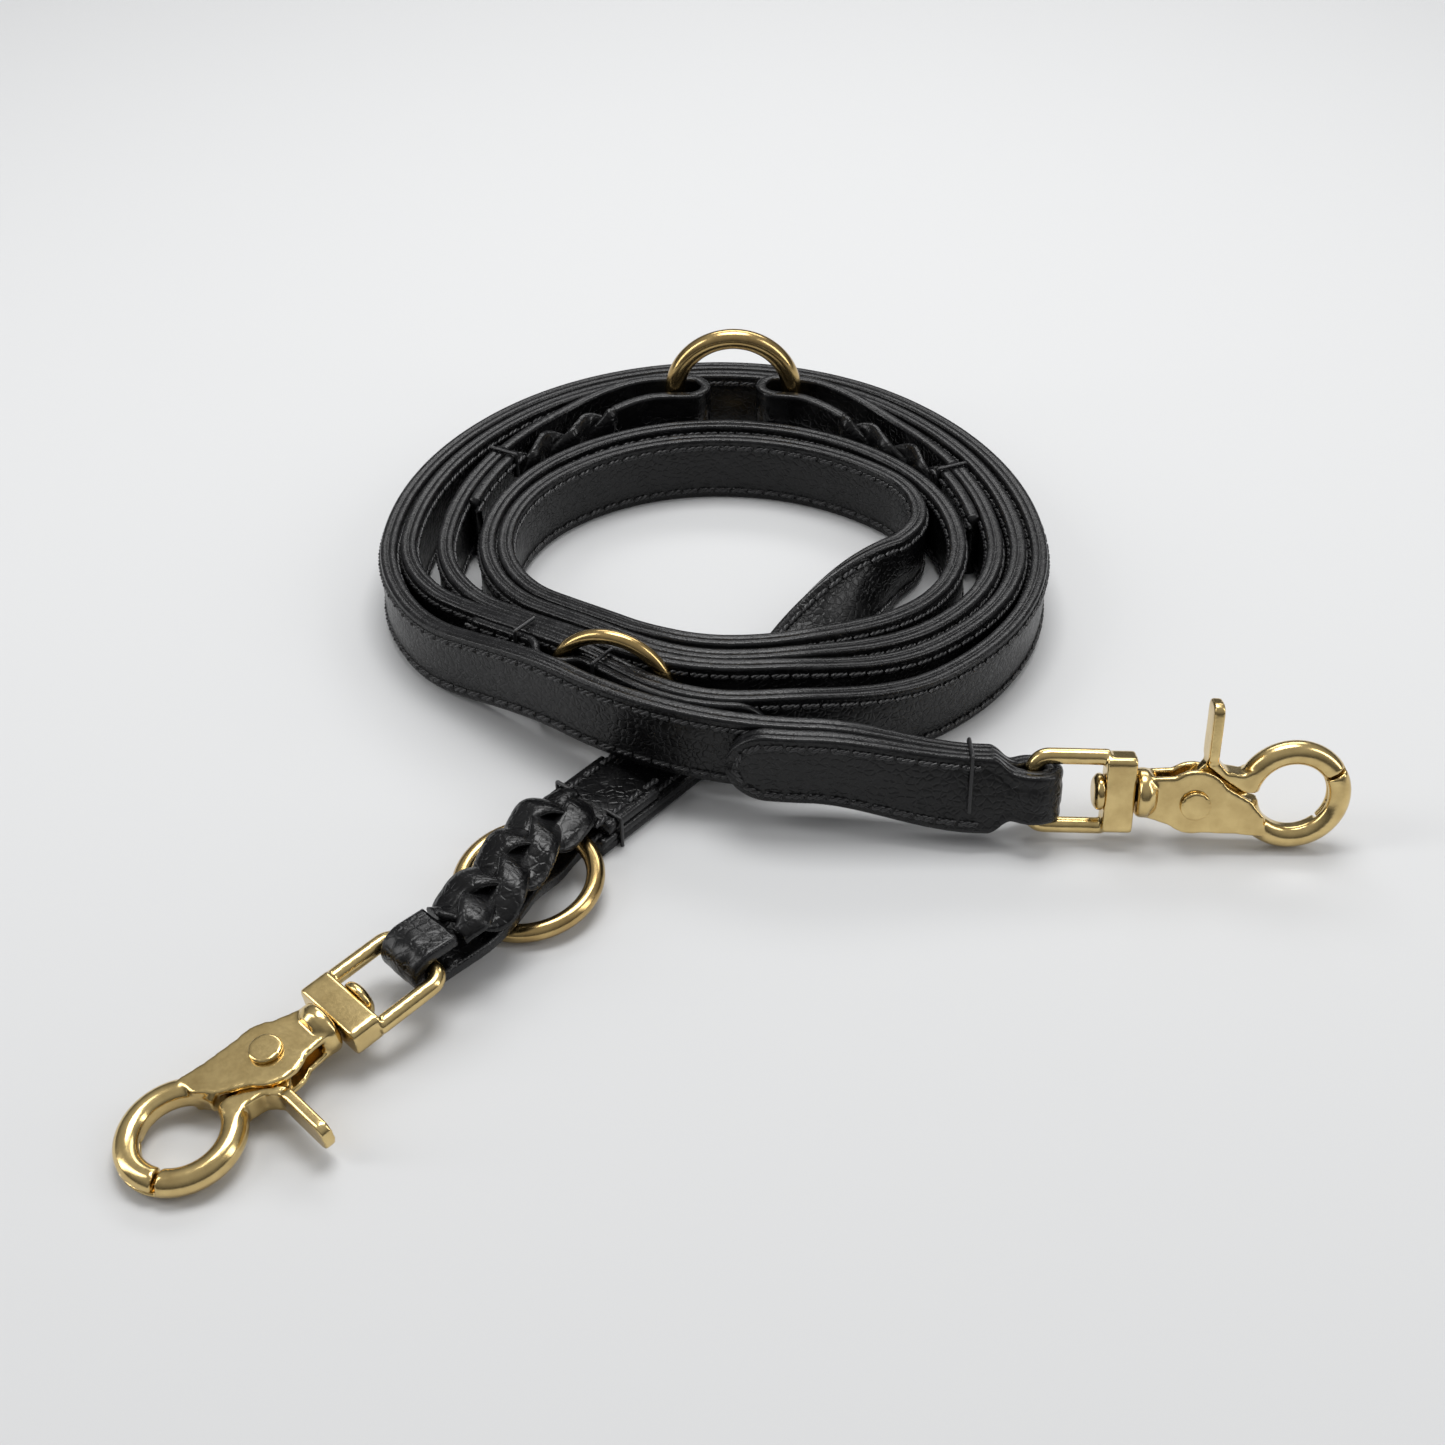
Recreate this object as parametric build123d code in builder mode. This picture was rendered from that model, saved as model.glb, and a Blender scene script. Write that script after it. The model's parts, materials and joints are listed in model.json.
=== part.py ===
"""Coiled leather rein with two swivel snaps, three rings and three braided ends.

Frame: millimetres, +Z up, the floor is z = 0, the front is -Y.
The rein stands on its edge in five loose turns, and its left end lies flat on the floor.
"""

import os
from math import acos, atan2, cos, degrees, radians, sin, tan, atan

from build123d import *

os.makedirs("parts", exist_ok=True)

# ---------------------------------------------------------------- driving dimensions (mm)
strap_width = 20.0
ply = 2.15                 # one leather ply
glue_line = 0.2            # between the two plies
terminal_thickness = 3.2   # the single leather that is folded and braided at each end
neck_width = 12.6          # that leather is cut narrower where it goes through metal
keeper_thickness = 2.2
seat_gap = 0.3             # between pieces that lie against each other

back_ring_radius = 18.0
back_ring_wire = 6.0
front_ring_radius = 14.9
front_ring_wire = 3.8
braid_ring_radius = 15.8
braid_ring_wire = 4.4

# where each turn of the coil crosses the four sides of the coil
side_y = 58.0
left_x = [-92.0, -86.7, -76.5, -65.0, -60.0]
left_corner = [60.0, 38.5, 41.5, 43.4, 37.9]      # bend radius ahead of each left side
back_at = [(-1.0, 154.0), (-1.0, 149.0), None, (-1.0, 118.2), (-1.0, 110.0)]
right_x = [87.2, 81.5, 75.2, 65.0]
front_at = [None, (4.0, -20.8), (4.0, -8.6), (2.0, -3.0), (2.0, 3.0)]
front_run = 142.0          # heading of the straight runs at the front left, degrees

lift_first = 8.2           # the first turn rides over the flat strap and its stitched tail
lift_long = 6.0            # the second and third turns ride over the flat strap
lift_short = 4.9
ramp = 45.0                # length over which a turn climbs to its lift
plateaus = [(-38.0, 30.0), (-31.6, 12.0), (-21.6, 10.4), (-17.3, 14.7), (-12.2, 19.8)]

first_front = (20.75, -34.1)   # where the first turn leaves the straight right end
right_bar = (73.5, -41.3, 13.3)    # middle of the right eye's cross bar
right_axis = -2.0          # heading of the right snap, and of the straight end behind it
right_lean = 16.0          # the right snap's eye leans back by this

left_heading = -130.0      # heading of the flat end
left_turn_start = (55.5, 72.0)
left_turn_radius = 20.0


right_heading = 180 + right_axis
strap_thickness = 2 * ply + glue_line
outer_ply = (-strap_thickness / 2, -glue_line / 2)
lining_ply = (glue_line / 2, strap_thickness / 2)


# ---------------------------------------------------------------- paths of the straps
def quarter(start, end, heading):
    """Two tangent 45 degree bends to the right that join two sides of the coil."""
    ahead = Vector(cos(radians(heading)), sin(radians(heading)))
    side = Vector(sin(radians(heading)), -cos(radians(heading)))
    step = Vector(*end) - Vector(*start)
    forward = step.dot(ahead)
    sideways = step.dot(side)
    s = sin(radians(45))
    c = 1 - s
    first = (s * forward - c * sideways) / (s * s - c * c)
    second = (s * sideways - c * forward) / (s * s - c * c)
    return [(-first, 45), (-second, 45)]


def front_left(start, end, corner, heading=180.0):
    """A bend, a straight run and a corner, from the front of the coil to its left side."""
    run = radians(front_run)
    corner_start = Vector(end[0] + corner * (1 - sin(run)), end[1] + corner * cos(run))
    turn = radians(heading)
    bend = Vector(sin(turn) - sin(run), cos(run) - cos(turn))
    ahead = Vector(cos(run), sin(run))
    gap = corner_start - Vector(*start)
    radius = (gap.X * ahead.Y - gap.Y * ahead.X) / (bend.X * ahead.Y - bend.Y * ahead.X)
    length = (gap - bend * radius).dot(ahead)
    return [(-radius, heading - front_run), (0, length), (-corner, front_run - 90)]


def parallel(start, heading, moves, offset):
    """Edges of the line that runs beside a path, offset to the right of its heading."""
    point = Vector(*start)
    angle = heading
    edges = []
    for radius, amount in moves:
        side = Vector(sin(radians(angle)), -cos(radians(angle)))
        ahead = Vector(cos(radians(angle)), sin(radians(angle)))
        here = point + side * offset
        if radius == 0:
            edges.append(Line(here, here + ahead * amount))
            point = point + ahead * amount
            continue
        sign = -1 if radius < 0 else 1
        centre = point - side * radius
        edges.append(JernArc(here, ahead, abs(radius + offset), sign * amount))
        angle = angle + sign * amount
        new_side = Vector(sin(radians(angle)), -cos(radians(angle)))
        point = centre + new_side * radius
    return edges


def end_of(start, heading, moves):
    """Point and heading at the far end of a path."""
    point = Vector(*start)
    angle = heading
    for radius, amount in moves:
        if radius == 0:
            point = point + Vector(cos(radians(angle)), sin(radians(angle))) * amount
            continue
        sign = -1 if radius < 0 else 1
        centre = point - Vector(sin(radians(angle)), -cos(radians(angle))) * radius
        angle = angle + sign * amount
        point = centre + Vector(sin(radians(angle)), -cos(radians(angle))) * radius
    return (point.X, point.Y), angle


def strip(start, heading, moves, side, plane=Plane.XY):
    """Face between two parallels of a path: the plan of one leather ply."""
    with BuildSketch(plane) as face:
        with BuildLine():
            near = parallel(start, heading, moves, side[0])
            far = parallel(start, heading, moves, side[1])
            Line(near[0] @ 0, far[0] @ 0)
            Line(near[-1] @ 1, far[-1] @ 1)
        make_face()
    return face.sketch


def hump(lift, turn_index, far_x=150.0):
    """Side view of a turn that climbs over what it crosses: a band of the strap's width."""
    turn = 2 * atan(lift / ramp)
    bend = ramp / 2 / sin(turn)
    left, right = plateaus[turn_index]
    with BuildSketch(Plane.XZ) as band:
        with BuildLine():
            for z in (0, strap_width):
                a = JernArc((left - ramp, z), (1, 0), bend, degrees(turn))
                b = JernArc(a @ 1, a % 1, bend, -degrees(turn))
                c = Line(b @ 1, (right, z + lift))
                d = JernArc(c @ 1, (1, 0), bend, -degrees(turn))
                e = JernArc(d @ 1, d % 1, bend, degrees(turn))
                Line(e @ 1, (far_x, z))
                Line((-far_x, z), (left - ramp, z))
            Line((-far_x, 0), (-far_x, strap_width))
            Line((far_x, 0), (far_x, strap_width))
        make_face()
    return band.sketch


def standing(plan, band=None):
    """Strap that stands on its edge: its plan raised by the width, or cut to a hump."""
    with BuildPart() as piece:
        add(plan)
        extrude(amount=strap_width if band is None else 3 * strap_width)
        if band is not None:
            with BuildSketch(Plane.XZ):
                add(band)
            extrude(amount=200, both=True, mode=Mode.INTERSECT)
    return piece.part


def ribbon(sections, ruled=False):
    """Leather through a row of cross sections: (middle, outward, up, near, far, width)."""
    with BuildPart() as piece:
        for middle, out, up, near, far, width in sections:
            section = Plane(middle, x_dir=out, z_dir=out.cross(up))
            with BuildSketch(section):
                with Locations(((near + far) / 2, 0)):
                    Rectangle(far - near, width)
        loft(ruled=ruled)
    return piece.part


def smooth(share):
    """An even start and an even end, from 0 to 1."""
    return share * share * (3 - 2 * share)


# ---------------------------------------------------------------- the right end
bar_clearance = 0.5        # between an eye's cross bar and the leather folded round it
eye_wire = 4.0
fold_radius = eye_wire / 2 + bar_clearance + strap_thickness / 2
fold_entry = 10.0
half_pair = strap_thickness / 2 + 0.1
fold_x = ((fold_radius + fold_entry) ** 2 - (fold_entry + half_pair) ** 2) ** 0.5
fold_turn = degrees(atan2(fold_x, fold_entry + half_pair))
fold_leg = 4.5             # straight leather between the fold and the standing strap
tab_length = 19.0          # of the tab's rounded end, beyond the straight right end
right_ahead = Vector(cos(radians(right_axis)), sin(radians(right_axis)))
right_back_way = Vector(-right_ahead.Y, right_ahead.X)


def leaning(share):
    """Upward and backward directions of the right end, share of the way along it."""
    tip = radians(right_lean * smooth(share))
    up = Vector(0, 0, 1) * cos(tip) + right_back_way * sin(tip)
    back = right_back_way * cos(tip) - Vector(0, 0, 1) * sin(tip)
    return up, back


end_up, end_back = leaning(1)
right_eye_plane = Plane(right_bar, x_dir=right_ahead, z_dir=end_up)


def right_fold(side):
    """Ply folded round the right eye's bar, narrowed to go between the eye's sides."""
    moves = [(0, fold_leg), (fold_entry, fold_turn), (-fold_radius, 180 + 2 * fold_turn)]
    moves += [(fold_entry, fold_turn), (0, fold_leg)]
    flipped = (-side[1], -side[0])
    with BuildPart() as piece:
        with BuildSketch(right_eye_plane):
            add(strip((-fold_x - fold_leg, half_pair), 0, moves, flipped))
        extrude(amount=strap_width / 2, both=True)
        with BuildSketch(Plane(right_bar, x_dir=right_ahead, z_dir=-end_back)):
            with BuildLine():
                for sign in (1, -1):
                    wide = (-fold_x - fold_leg - 1, sign * strap_width / 2)
                    Line(wide, (wide[0] + 3, wide[1]))
                    Spline((wide[0] + 3, wide[1]), (-4, sign * neck_width / 2),
                           tangents=((1, 0), (1, 0)))
                    Line((-4, sign * neck_width / 2), (12, sign * neck_width / 2))
                Line((-fold_x - fold_leg - 1, -strap_width / 2),
                     (-fold_x - fold_leg - 1, strap_width / 2))
                Line((12, -neck_width / 2), (12, neck_width / 2))
            make_face()
        extrude(amount=20, both=True, mode=Mode.INTERSECT)
    return piece.part


def right_leg(near, far):
    """Straight right end: a ply that goes from upright to leaning, offset to the front."""
    start = Vector(first_front[0], first_front[1], lift_first + strap_width / 2)
    up, back = leaning(1)
    stop = Vector(*right_bar) + right_ahead * (-fold_x - fold_leg) + back * half_pair
    top = up * (strap_width / 2)
    sections = []
    for step in range(7):
        share = step / 6
        up, back = leaning(share)
        ridge = start + Vector(0, 0, strap_width / 2)
        ridge = ridge + (stop + top - ridge) * share
        drop = (start.Z - (stop + top).Z + strap_width / 2) * (share - smooth(share))
        middle = ridge + Vector(0, 0, drop) - up * (strap_width / 2)
        sections.append((middle, back * -1, up, near, far, strap_width))
    return ribbon(sections)


def right_end(side):
    """One ply's straight right end, its fold, and its way back as the rounded tab."""
    near, far = -side[1], -side[0]
    pair = 2 * half_pair
    pieces = [right_leg(near, far), right_fold(side), right_leg(pair - far, pair - near)]
    bend = first_turn[0][0]
    moves = [(bend, degrees(tab_length / -bend))]
    tab = strip(first_front, right_heading, moves, (near - pair, far - pair))
    with BuildSketch(Plane.XZ) as rounded:
        with Locations((first_front[0] - tab_length + strap_width / 2, lift_first + strap_width / 2)):
            Circle(strap_width / 2)
            with Locations((strap_width, 0)):
                Rectangle(2 * strap_width, strap_width)
    pieces.append(standing(tab, rounded.sketch))
    return pieces


# ---------------------------------------------------------------- the two straps' routes
first_turn = front_left(first_front, (left_x[0], side_y), left_corner[0], right_heading)

# back rings' loops: the outer strand of each loop ends beside the ring's wire
back_ring_at = (3.3, 135.0, back_ring_radius + back_ring_wire / 2)
loop_gap = back_ring_wire / 2 + 0.8      # from the wire's middle to the leather
loop_offset = loop_gap + terminal_thickness / 2
left_loop_at = (back_ring_at[0] - back_ring_radius, back_ring_at[1])
right_loop_at = (back_ring_at[0] + back_ring_radius, back_ring_at[1])
left_strand_end = (left_loop_at[0], left_loop_at[1] + loop_offset)
third_left = quarter((left_x[2], side_y), left_strand_end, 90)
left_tack_turn = 28.3      # degrees of the third turn before its stitched end
right_tack_turn = 21.7

right_loop_heading = -8.0
loop_side = Vector(-sin(radians(right_loop_heading)), cos(radians(right_loop_heading)))
right_strand_start = Vector(*right_loop_at) + loop_side * loop_offset
right_strand_start = (right_strand_start.X, right_strand_start.Y)
tight_bend = (-25.0, 20.0)


def right_back_bends():
    """Two bends from the loop's first bend to the right side of the third turn."""
    start, heading = end_of(right_strand_start, right_loop_heading, [tight_bend])
    a = radians(heading)
    m = radians(-45)
    first = Vector(sin(a) - sin(m), cos(m) - cos(a))
    second = Vector(sin(m) + 1, -cos(m))
    gap = Vector(right_x[2], side_y) - Vector(*start)
    det = first.X * second.Y - first.Y * second.X
    r1 = (gap.X * second.Y - gap.Y * second.X) / det
    r2 = (first.X * gap.Y - first.Y * gap.X) / det
    return [(-r1, heading + 45), (-r2, 45.0)]


right_back = right_back_bends()


def turn_front(index):
    """From the right side of one turn, round the front, to the left side of the next."""
    start = (right_x[index - 1], side_y)
    middle = front_at[index]
    moves = quarter(start, middle, -90)
    return moves + front_left(middle, (left_x[index], side_y), left_corner[index])


def turn_back(index):
    """From the left side of a turn, round the back, to its right side."""
    start = (left_x[index], side_y)
    middle = back_at[index]
    return quarter(start, middle, 90) + quarter(middle, (right_x[index], side_y), 0)


fifth_back = quarter((left_x[4], side_y), back_at[4], 90) + quarter(back_at[4], left_turn_start, 0)
left_turn = [(-left_turn_radius, -90 - left_heading)]
left_origin, _ = end_of(left_turn_start, -90, left_turn)


def long_strap(side):
    """First strap: right end, three turns, to the stitched end before the back ring."""
    pieces = right_end(side)
    pieces.append(standing(strip(first_front, right_heading, first_turn, side), hump(lift_first, 0)))
    for index in (0, 1):
        left = (left_x[index], side_y)
        right = (right_x[index], side_y)
        pieces.append(standing(strip(left, 90, turn_back(index), side)))
        pieces.append(standing(strip(right, -90, turn_front(index + 1), side),
                               hump(lift_long, index + 1)))
    last = [(third_left[0][0], left_tack_turn)]
    pieces.append(standing(strip((left_x[2], side_y), 90, last, side)))
    return pieces


# the flat end: s runs along its heading from left_origin, and its cross sections turn flat
twist = (4.0, 54.0)
flat_end = 135.0           # the two plies stop here, and the braided leather goes on
along = Vector(cos(radians(left_heading)), sin(radians(left_heading)))
across = Vector(-along.Y, along.X)
left_base = Vector(left_origin[0], left_origin[1], 0)


def left_point(s, z=0.0, sideways=0.0):
    """Point of the flat end: s along it, z above the floor, sideways to its left."""
    return left_base + along * s + across * sideways + Vector(0, 0, z)


def twisting(side):
    """Ply between standing on its edge and lying flat: the top tips to the right."""
    sections = []
    for step in range(7):
        share = step / 6
        tip = radians(90 * share)
        s = twist[0] + (twist[1] - twist[0]) * share
        up = Vector(0, 0, 1) * cos(tip) - across * sin(tip)
        out = across * cos(tip) + Vector(0, 0, 1) * sin(tip)
        height = strap_width / 2 * cos(tip) + strap_thickness / 2 * sin(tip)
        sections.append((left_point(s, height), out, up, -side[1], -side[0], strap_width))
    return ribbon(sections)


def short_strap(side):
    """Second strap: from the back ring, two turns, then under the coil to the left end."""
    last_bend, _ = end_of(right_strand_start, right_loop_heading,
                          [tight_bend, right_back[0], (right_back[1][0], right_tack_turn)])
    bend = [(right_back[1][0], 45 - right_tack_turn)]
    pieces = [standing(strip(last_bend, -45 - right_tack_turn, bend, side))]
    for index in (3, 4):
        right = (right_x[index - 1], side_y)
        pieces.append(standing(strip(right, -90, turn_front(index), side), hump(lift_short, index)))
    pieces.append(standing(strip((left_x[3], side_y), 90, turn_back(3), side)))
    tail = fifth_back + left_turn + [(0, twist[0])]
    pieces.append(standing(strip((left_x[4], side_y), 90, tail, side)))
    pieces.append(twisting(side))
    middle = left_point((twist[1] + flat_end) / 2, strap_thickness / 2 - (side[0] + side[1]) / 2)
    lying = Plane(middle, x_dir=along, z_dir=(0, 0, 1))
    with BuildPart(lying) as flat:
        Box(flat_end - twist[1], strap_width, side[1] - side[0])
    pieces.append(flat.part)
    return pieces


pieces = []


def joined(stretches):
    """One ply from its stretches, which meet face to face."""
    with BuildPart() as whole:
        for stretch in stretches:
            add(stretch)
    return whole.part


def keep(part, name):
    """A finished piece, to be written once all are in place."""
    part.label = name
    pieces.append(part)


def ring(centre, axis, radius, wire):
    """A round welded ring."""
    with BuildPart(Plane(centre, z_dir=axis)) as hoop:
        Torus(radius, wire / 2)
    return hoop.part


# ---------------------------------------------------------------- rings
braid_ring_s = 154.8       # along the flat end
second_front = turn_front(1)


def on_second(distance, offset=0.0):
    """Point and heading on the straight run of the second turn, at the front left."""
    bends = second_front[:3]
    start, heading = end_of((right_x[0], side_y), -90, bends)
    ahead = Vector(cos(radians(heading)), sin(radians(heading)))
    side = Vector(ahead.Y, -ahead.X)
    return Vector(*start) + ahead * distance + side * offset, heading


# ---------------------------------------------------------------- leather of the three braided ends
strand_width = 5.0
strand_thickness = 1.8
braid_reach = 7.4          # how far a strand's middle swings to each side
braid_depth = 1.72


def braid(path, count, turns=1.0):
    """Three strands plaited along a path(share) that gives (middle, outward, up)."""
    strands = []
    for strand in range(3):
        sections = []
        for step in range(count):
            share = step / (count - 1)
            middle, out, up = path(share)
            turn = radians(360 * turns * share + 120 * strand)
            middle = middle + up * (braid_reach * sin(turn)) + out * (braid_depth * sin(2 * turn))
            half = strand_thickness / 2
            sections.append((middle, out, up, -half, half, strand_width))
        strands.append(ribbon(sections, ruled=True))
    return strands


def loop_band(tack_x, wire_x, sign):
    """Side view of a back loop: as wide as the strap at the tack, a raised neck at the ring."""
    middle = back_ring_at[2] - 4
    with BuildSketch(Plane.XZ) as band:
        with BuildLine():
            for wide, narrow in ((0, middle - neck_width / 2), (strap_width, middle + neck_width / 2)):
                start = (tack_x + sign * 6, wide)
                stop = (wire_x - sign * 10, narrow)
                Line((tack_x - sign * 20, wide), start)
                Spline(start, stop, tangents=((sign, 0), (sign, 0)))
                Line(stop, (wire_x + sign * 20, narrow))
            Line((tack_x - sign * 20, 0), (tack_x - sign * 20, strap_width))
            Line((wire_x + sign * 20, middle - neck_width / 2),
                 (wire_x + sign * 20, middle + neck_width / 2))
        make_face()
    return band.sketch


half_leather = terminal_thickness / 2
loop_run = 4.0             # straight leather beside the wire, before the fold
loop_length = 30.0         # of the inner strand, from the fold to the braid
fold_inner = 2 * loop_offset
braid_seat = strap_thickness / 2 + seat_gap + braid_depth + strand_thickness / 2


def back_end(start, heading, moves, tack_x, wire_x, sign, right_side):
    """Loop, braid and tail of an end on the back ring, from the tack at start to the fold."""
    turn = 1 if right_side else -1
    path = moves + [(0, loop_run)]
    stop, stop_heading = end_of(start, heading, path)
    lengths = [abs(radians(amount) * radius) if radius else amount for radius, amount in path]
    whole = sum(lengths)

    def at(distance):
        point, angle = start, heading
        for (radius, amount), length in zip(path, lengths):
            used = min(distance, length)
            if used > 0:
                part = (radius, degrees(used / abs(radius))) if radius else (0, used)
                point, angle = end_of(point, angle, [part])
            distance = distance - used
        return Vector(*point), angle

    inner = (turn * fold_inner - half_leather, turn * fold_inner + half_leather)
    inner_start, inner_heading = at(whole - loop_length)
    inner_moves = []
    left = loop_length - loop_run
    for (radius, amount), length in reversed(list(zip(moves, lengths))):
        used = min(left, length)
        if used > 0:
            inner_moves.insert(0, (radius, degrees(used / abs(radius))))
        left = left - used
    inner_moves.append((0, loop_run))
    with BuildSketch() as plan:
        add(strip(start, heading, path, (-half_leather, half_leather)))
        add(strip((inner_start.X, inner_start.Y), inner_heading, inner_moves, inner))
        fold = [(-turn * loop_offset, 180)]
        add(strip(stop, stop_heading, fold, (-half_leather, half_leather)))
    loop = standing(plan.sketch, loop_band(tack_x, wire_x, sign))

    def middle_line(share):
        point, angle = at(1 + share * (whole - loop_length - 1.2))
        side = Vector(sin(radians(angle)), -cos(radians(angle))) * turn
        away = braid_seat + (fold_inner - braid_seat) * smooth(share)
        lift = (back_ring_at[2] - 4 - strap_width / 2) * smooth(share)
        return point + side * away + Vector(0, 0, strap_width / 2 + lift), side, Vector(0, 0, 1)

    return loop, braid(middle_line, 15)


left_bend, last_left_bend = third_left
left_tack, left_tack_heading = end_of((left_x[2], side_y), 90, [(left_bend[0], left_tack_turn)])
back_left_loop, back_left_braid = back_end(
    left_tack, left_tack_heading, [(left_bend[0], 45 - left_tack_turn), last_left_bend],
    left_tack[0], left_loop_at[0], 1, True)
right_tack, right_tack_heading = end_of(
    right_strand_start, right_loop_heading,
    [tight_bend, right_back[0], (right_back[1][0], right_tack_turn)])
back_right_loop, back_right_braid = back_end(
    right_tack, right_tack_heading + 180,
    [(-right_back[1][0], right_tack_turn), (-right_back[0][0], right_back[0][1]),
     (-tight_bend[0], tight_bend[1])],
    right_tack[0], right_loop_at[0], -1, False)

tail_length = 29.0
tail_side = (strap_thickness / 2 + seat_gap, strap_thickness / 2 + seat_gap + terminal_thickness)
left_tail_turn = degrees(tail_length / -left_bend[0])
left_tail_start, left_tail_heading = end_of(
    (left_x[2], side_y), 90, [(left_bend[0], left_tack_turn - left_tail_turn)])
back_left_tail = standing(
    strip(left_tail_start, left_tail_heading, [(left_bend[0], left_tail_turn)], tail_side))
right_tail_moves = [(right_back[1][0], degrees(tail_length / -right_back[1][0]))]
back_right_tail = standing(strip(right_tack, right_tack_heading, right_tail_moves, tail_side))

# ---------------------------------------------------------------- the left end's leather
left_bar_s = 191.5         # middle of the left eye's cross bar, along the flat end
left_bar_n = 8.0           # and to its left
left_bar_z = 10.8
left_snap_heading = -135.1
lower_start = flat_end + 0.3
lower_ramp = (146.5, 163.5)
left_fold = eye_wire / 2 + bar_clearance + half_leather
left_braid_s = (131.0, 183.2)

swerve_end = 178.5         # along the flat end, where the leather has swerved to the snap
swerve_by = 9.2
left_snap_way = Vector(cos(radians(left_snap_heading)), sin(radians(left_snap_heading)), 0)
left_snap_side = Vector(-left_snap_way.Y, left_snap_way.X, 0)
left_bar = left_point(left_bar_s, left_bar_z, left_bar_n)
fold_lead = (left_bar_s - swerve_end) / cos(radians(left_heading - left_snap_heading))


def swerve(s):
    """How far to its left the leather of the left end has gone, pulled by the snap."""
    return swerve_by * smooth(min(1, max(0, (s - flat_end) / (swerve_end - flat_end))))


def lower_point(s):
    """Middle of the lower leather, under the braid."""
    rise = left_bar_z - left_fold - half_leather
    climb = smooth(min(1, max(0, (s - lower_ramp[0]) / (lower_ramp[1] - lower_ramp[0]))))
    return left_point(s, half_leather + rise * climb, swerve(s))


lower_sections = []
for step in range(12):
    s = lower_start + (swerve_end - 1 - lower_start) * step / 11
    ahead = (lower_point(s + 0.2) - lower_point(s - 0.2)).normalized()
    side = Vector(0, 0, 1).cross(ahead).normalized()
    lower_sections.append((lower_point(s), ahead.cross(side), side, -half_leather, half_leather,
                           neck_width))
fold_start = left_bar - left_snap_way * fold_lead - Vector(0, 0, left_fold)
lower_sections.append((fold_start, Vector(0, 0, 1), left_snap_side, -half_leather, half_leather,
                       neck_width))

with BuildPart() as left_lower:
    add(ribbon(lower_sections))
    with BuildSketch(Plane(left_bar, x_dir=left_snap_way, z_dir=left_snap_side * -1)):
        add(strip((-fold_lead, -left_fold), 0, [(0, fold_lead), (left_fold, 180), (0, 6.5)],
                  (-half_leather, half_leather)))
    extrude(amount=neck_width / 2, both=True)

left_tail_s = (114.5, 130.8)
tail_low = strap_thickness + seat_gap
with BuildPart(Plane(left_point(sum(left_tail_s) / 2, tail_low + half_leather),
                     x_dir=along, z_dir=(0, 0, 1))) as left_tail:
    Box(left_tail_s[1] - left_tail_s[0], strap_width, terminal_thickness)


def left_braid_path(share):
    """From the tail, up steeply, then level to the fold."""
    s = left_braid_s[0] + (left_braid_s[1] - left_braid_s[0]) * share
    low = strap_thickness + seat_gap + braid_depth + strand_thickness / 2
    high = left_bar_z + left_fold
    back_off = 0.09 * max(0, s - swerve_end)
    middle = left_point(s, low + (high - low) * (1 - (1 - share) ** 4), swerve(s) - back_off)
    return middle, Vector(0, 0, 1), across


left_braid = braid(left_braid_path, 19, 1.25)

# ---------------------------------------------------------------- rings
back_ring = ring(back_ring_at, (0, 1, 0), back_ring_radius, back_ring_wire)

second_front = turn_front(1)
run_start, run_heading = end_of((right_x[0], side_y), -90, second_front[:3])
run_ahead = Vector(cos(radians(run_heading)), sin(radians(run_heading)))
run_side = Vector(run_ahead.Y, -run_ahead.X)
tunnel = (13.3, 33.4)      # along the straight run of the second turn
front_ring_heading = radians(-16.2)
ring_offset = strap_thickness / 2 + seat_gap + front_ring_wire / 2
ring_seat = Vector(*run_start) + run_ahead * (sum(tunnel) / 2) - run_side * ring_offset
front_ring_at = ring_seat + Vector(cos(front_ring_heading), sin(front_ring_heading)) * front_ring_radius
front_ring_at = front_ring_at + Vector(0, 0, front_ring_radius + front_ring_wire / 2)
front_ring_axis = (sin(front_ring_heading), -cos(front_ring_heading), 0)
front_ring = ring(front_ring_at, front_ring_axis, front_ring_radius, front_ring_wire)

braid_ring_s = 154.8
braid_ring_side = 4.7
braid_ring_tilt = 0.131    # its far side lies on the flat end's lower leather
braid_ring_z = braid_ring_wire / 2 + braid_ring_tilt * braid_ring_radius
braid_ring_at = left_point(braid_ring_s, braid_ring_z, braid_ring_side)
braid_ring_axis = Vector(0, 0, 1) + along * braid_ring_tilt
braid_ring = ring(braid_ring_at, braid_ring_axis, braid_ring_radius, braid_ring_wire)


def pressed(part, centre, axis, radius, wire):
    """Leather with the hollow that a ring has pressed into it."""
    with BuildPart() as leather:
        add(part)
        with BuildPart(Plane(centre, z_dir=axis), mode=Mode.SUBTRACT):
            Torus(radius, wire / 2 + seat_gap)
    return leather.part


def beside_front_ring(part):
    """Leather pressed by the front ring."""
    return pressed(part, front_ring_at, front_ring_axis, front_ring_radius, front_ring_wire)


def beside_braid_ring(part):
    """Leather pressed by the ring in the left braid."""
    return pressed(part, braid_ring_at, braid_ring_axis, braid_ring_radius, braid_ring_wire)


# ---------------------------------------------------------------- ring keeper, on the second turn
keeper_from = 8.0          # its rounded end, ahead of the front's middle
keeper_end = 52.7          # along the straight run
keeper_side = (-strap_thickness / 2 - glue_line - keeper_thickness, -strap_thickness / 2 - glue_line)
keeper_middle = sum(keeper_side) / 2
bulge = front_ring_wire + 0.4
bulge_turn = 50.0
bulge_bend = bulge / 2 / (1 - cos(radians(bulge_turn)))
bulge_run = 2 * bulge_bend * sin(radians(bulge_turn))

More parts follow.
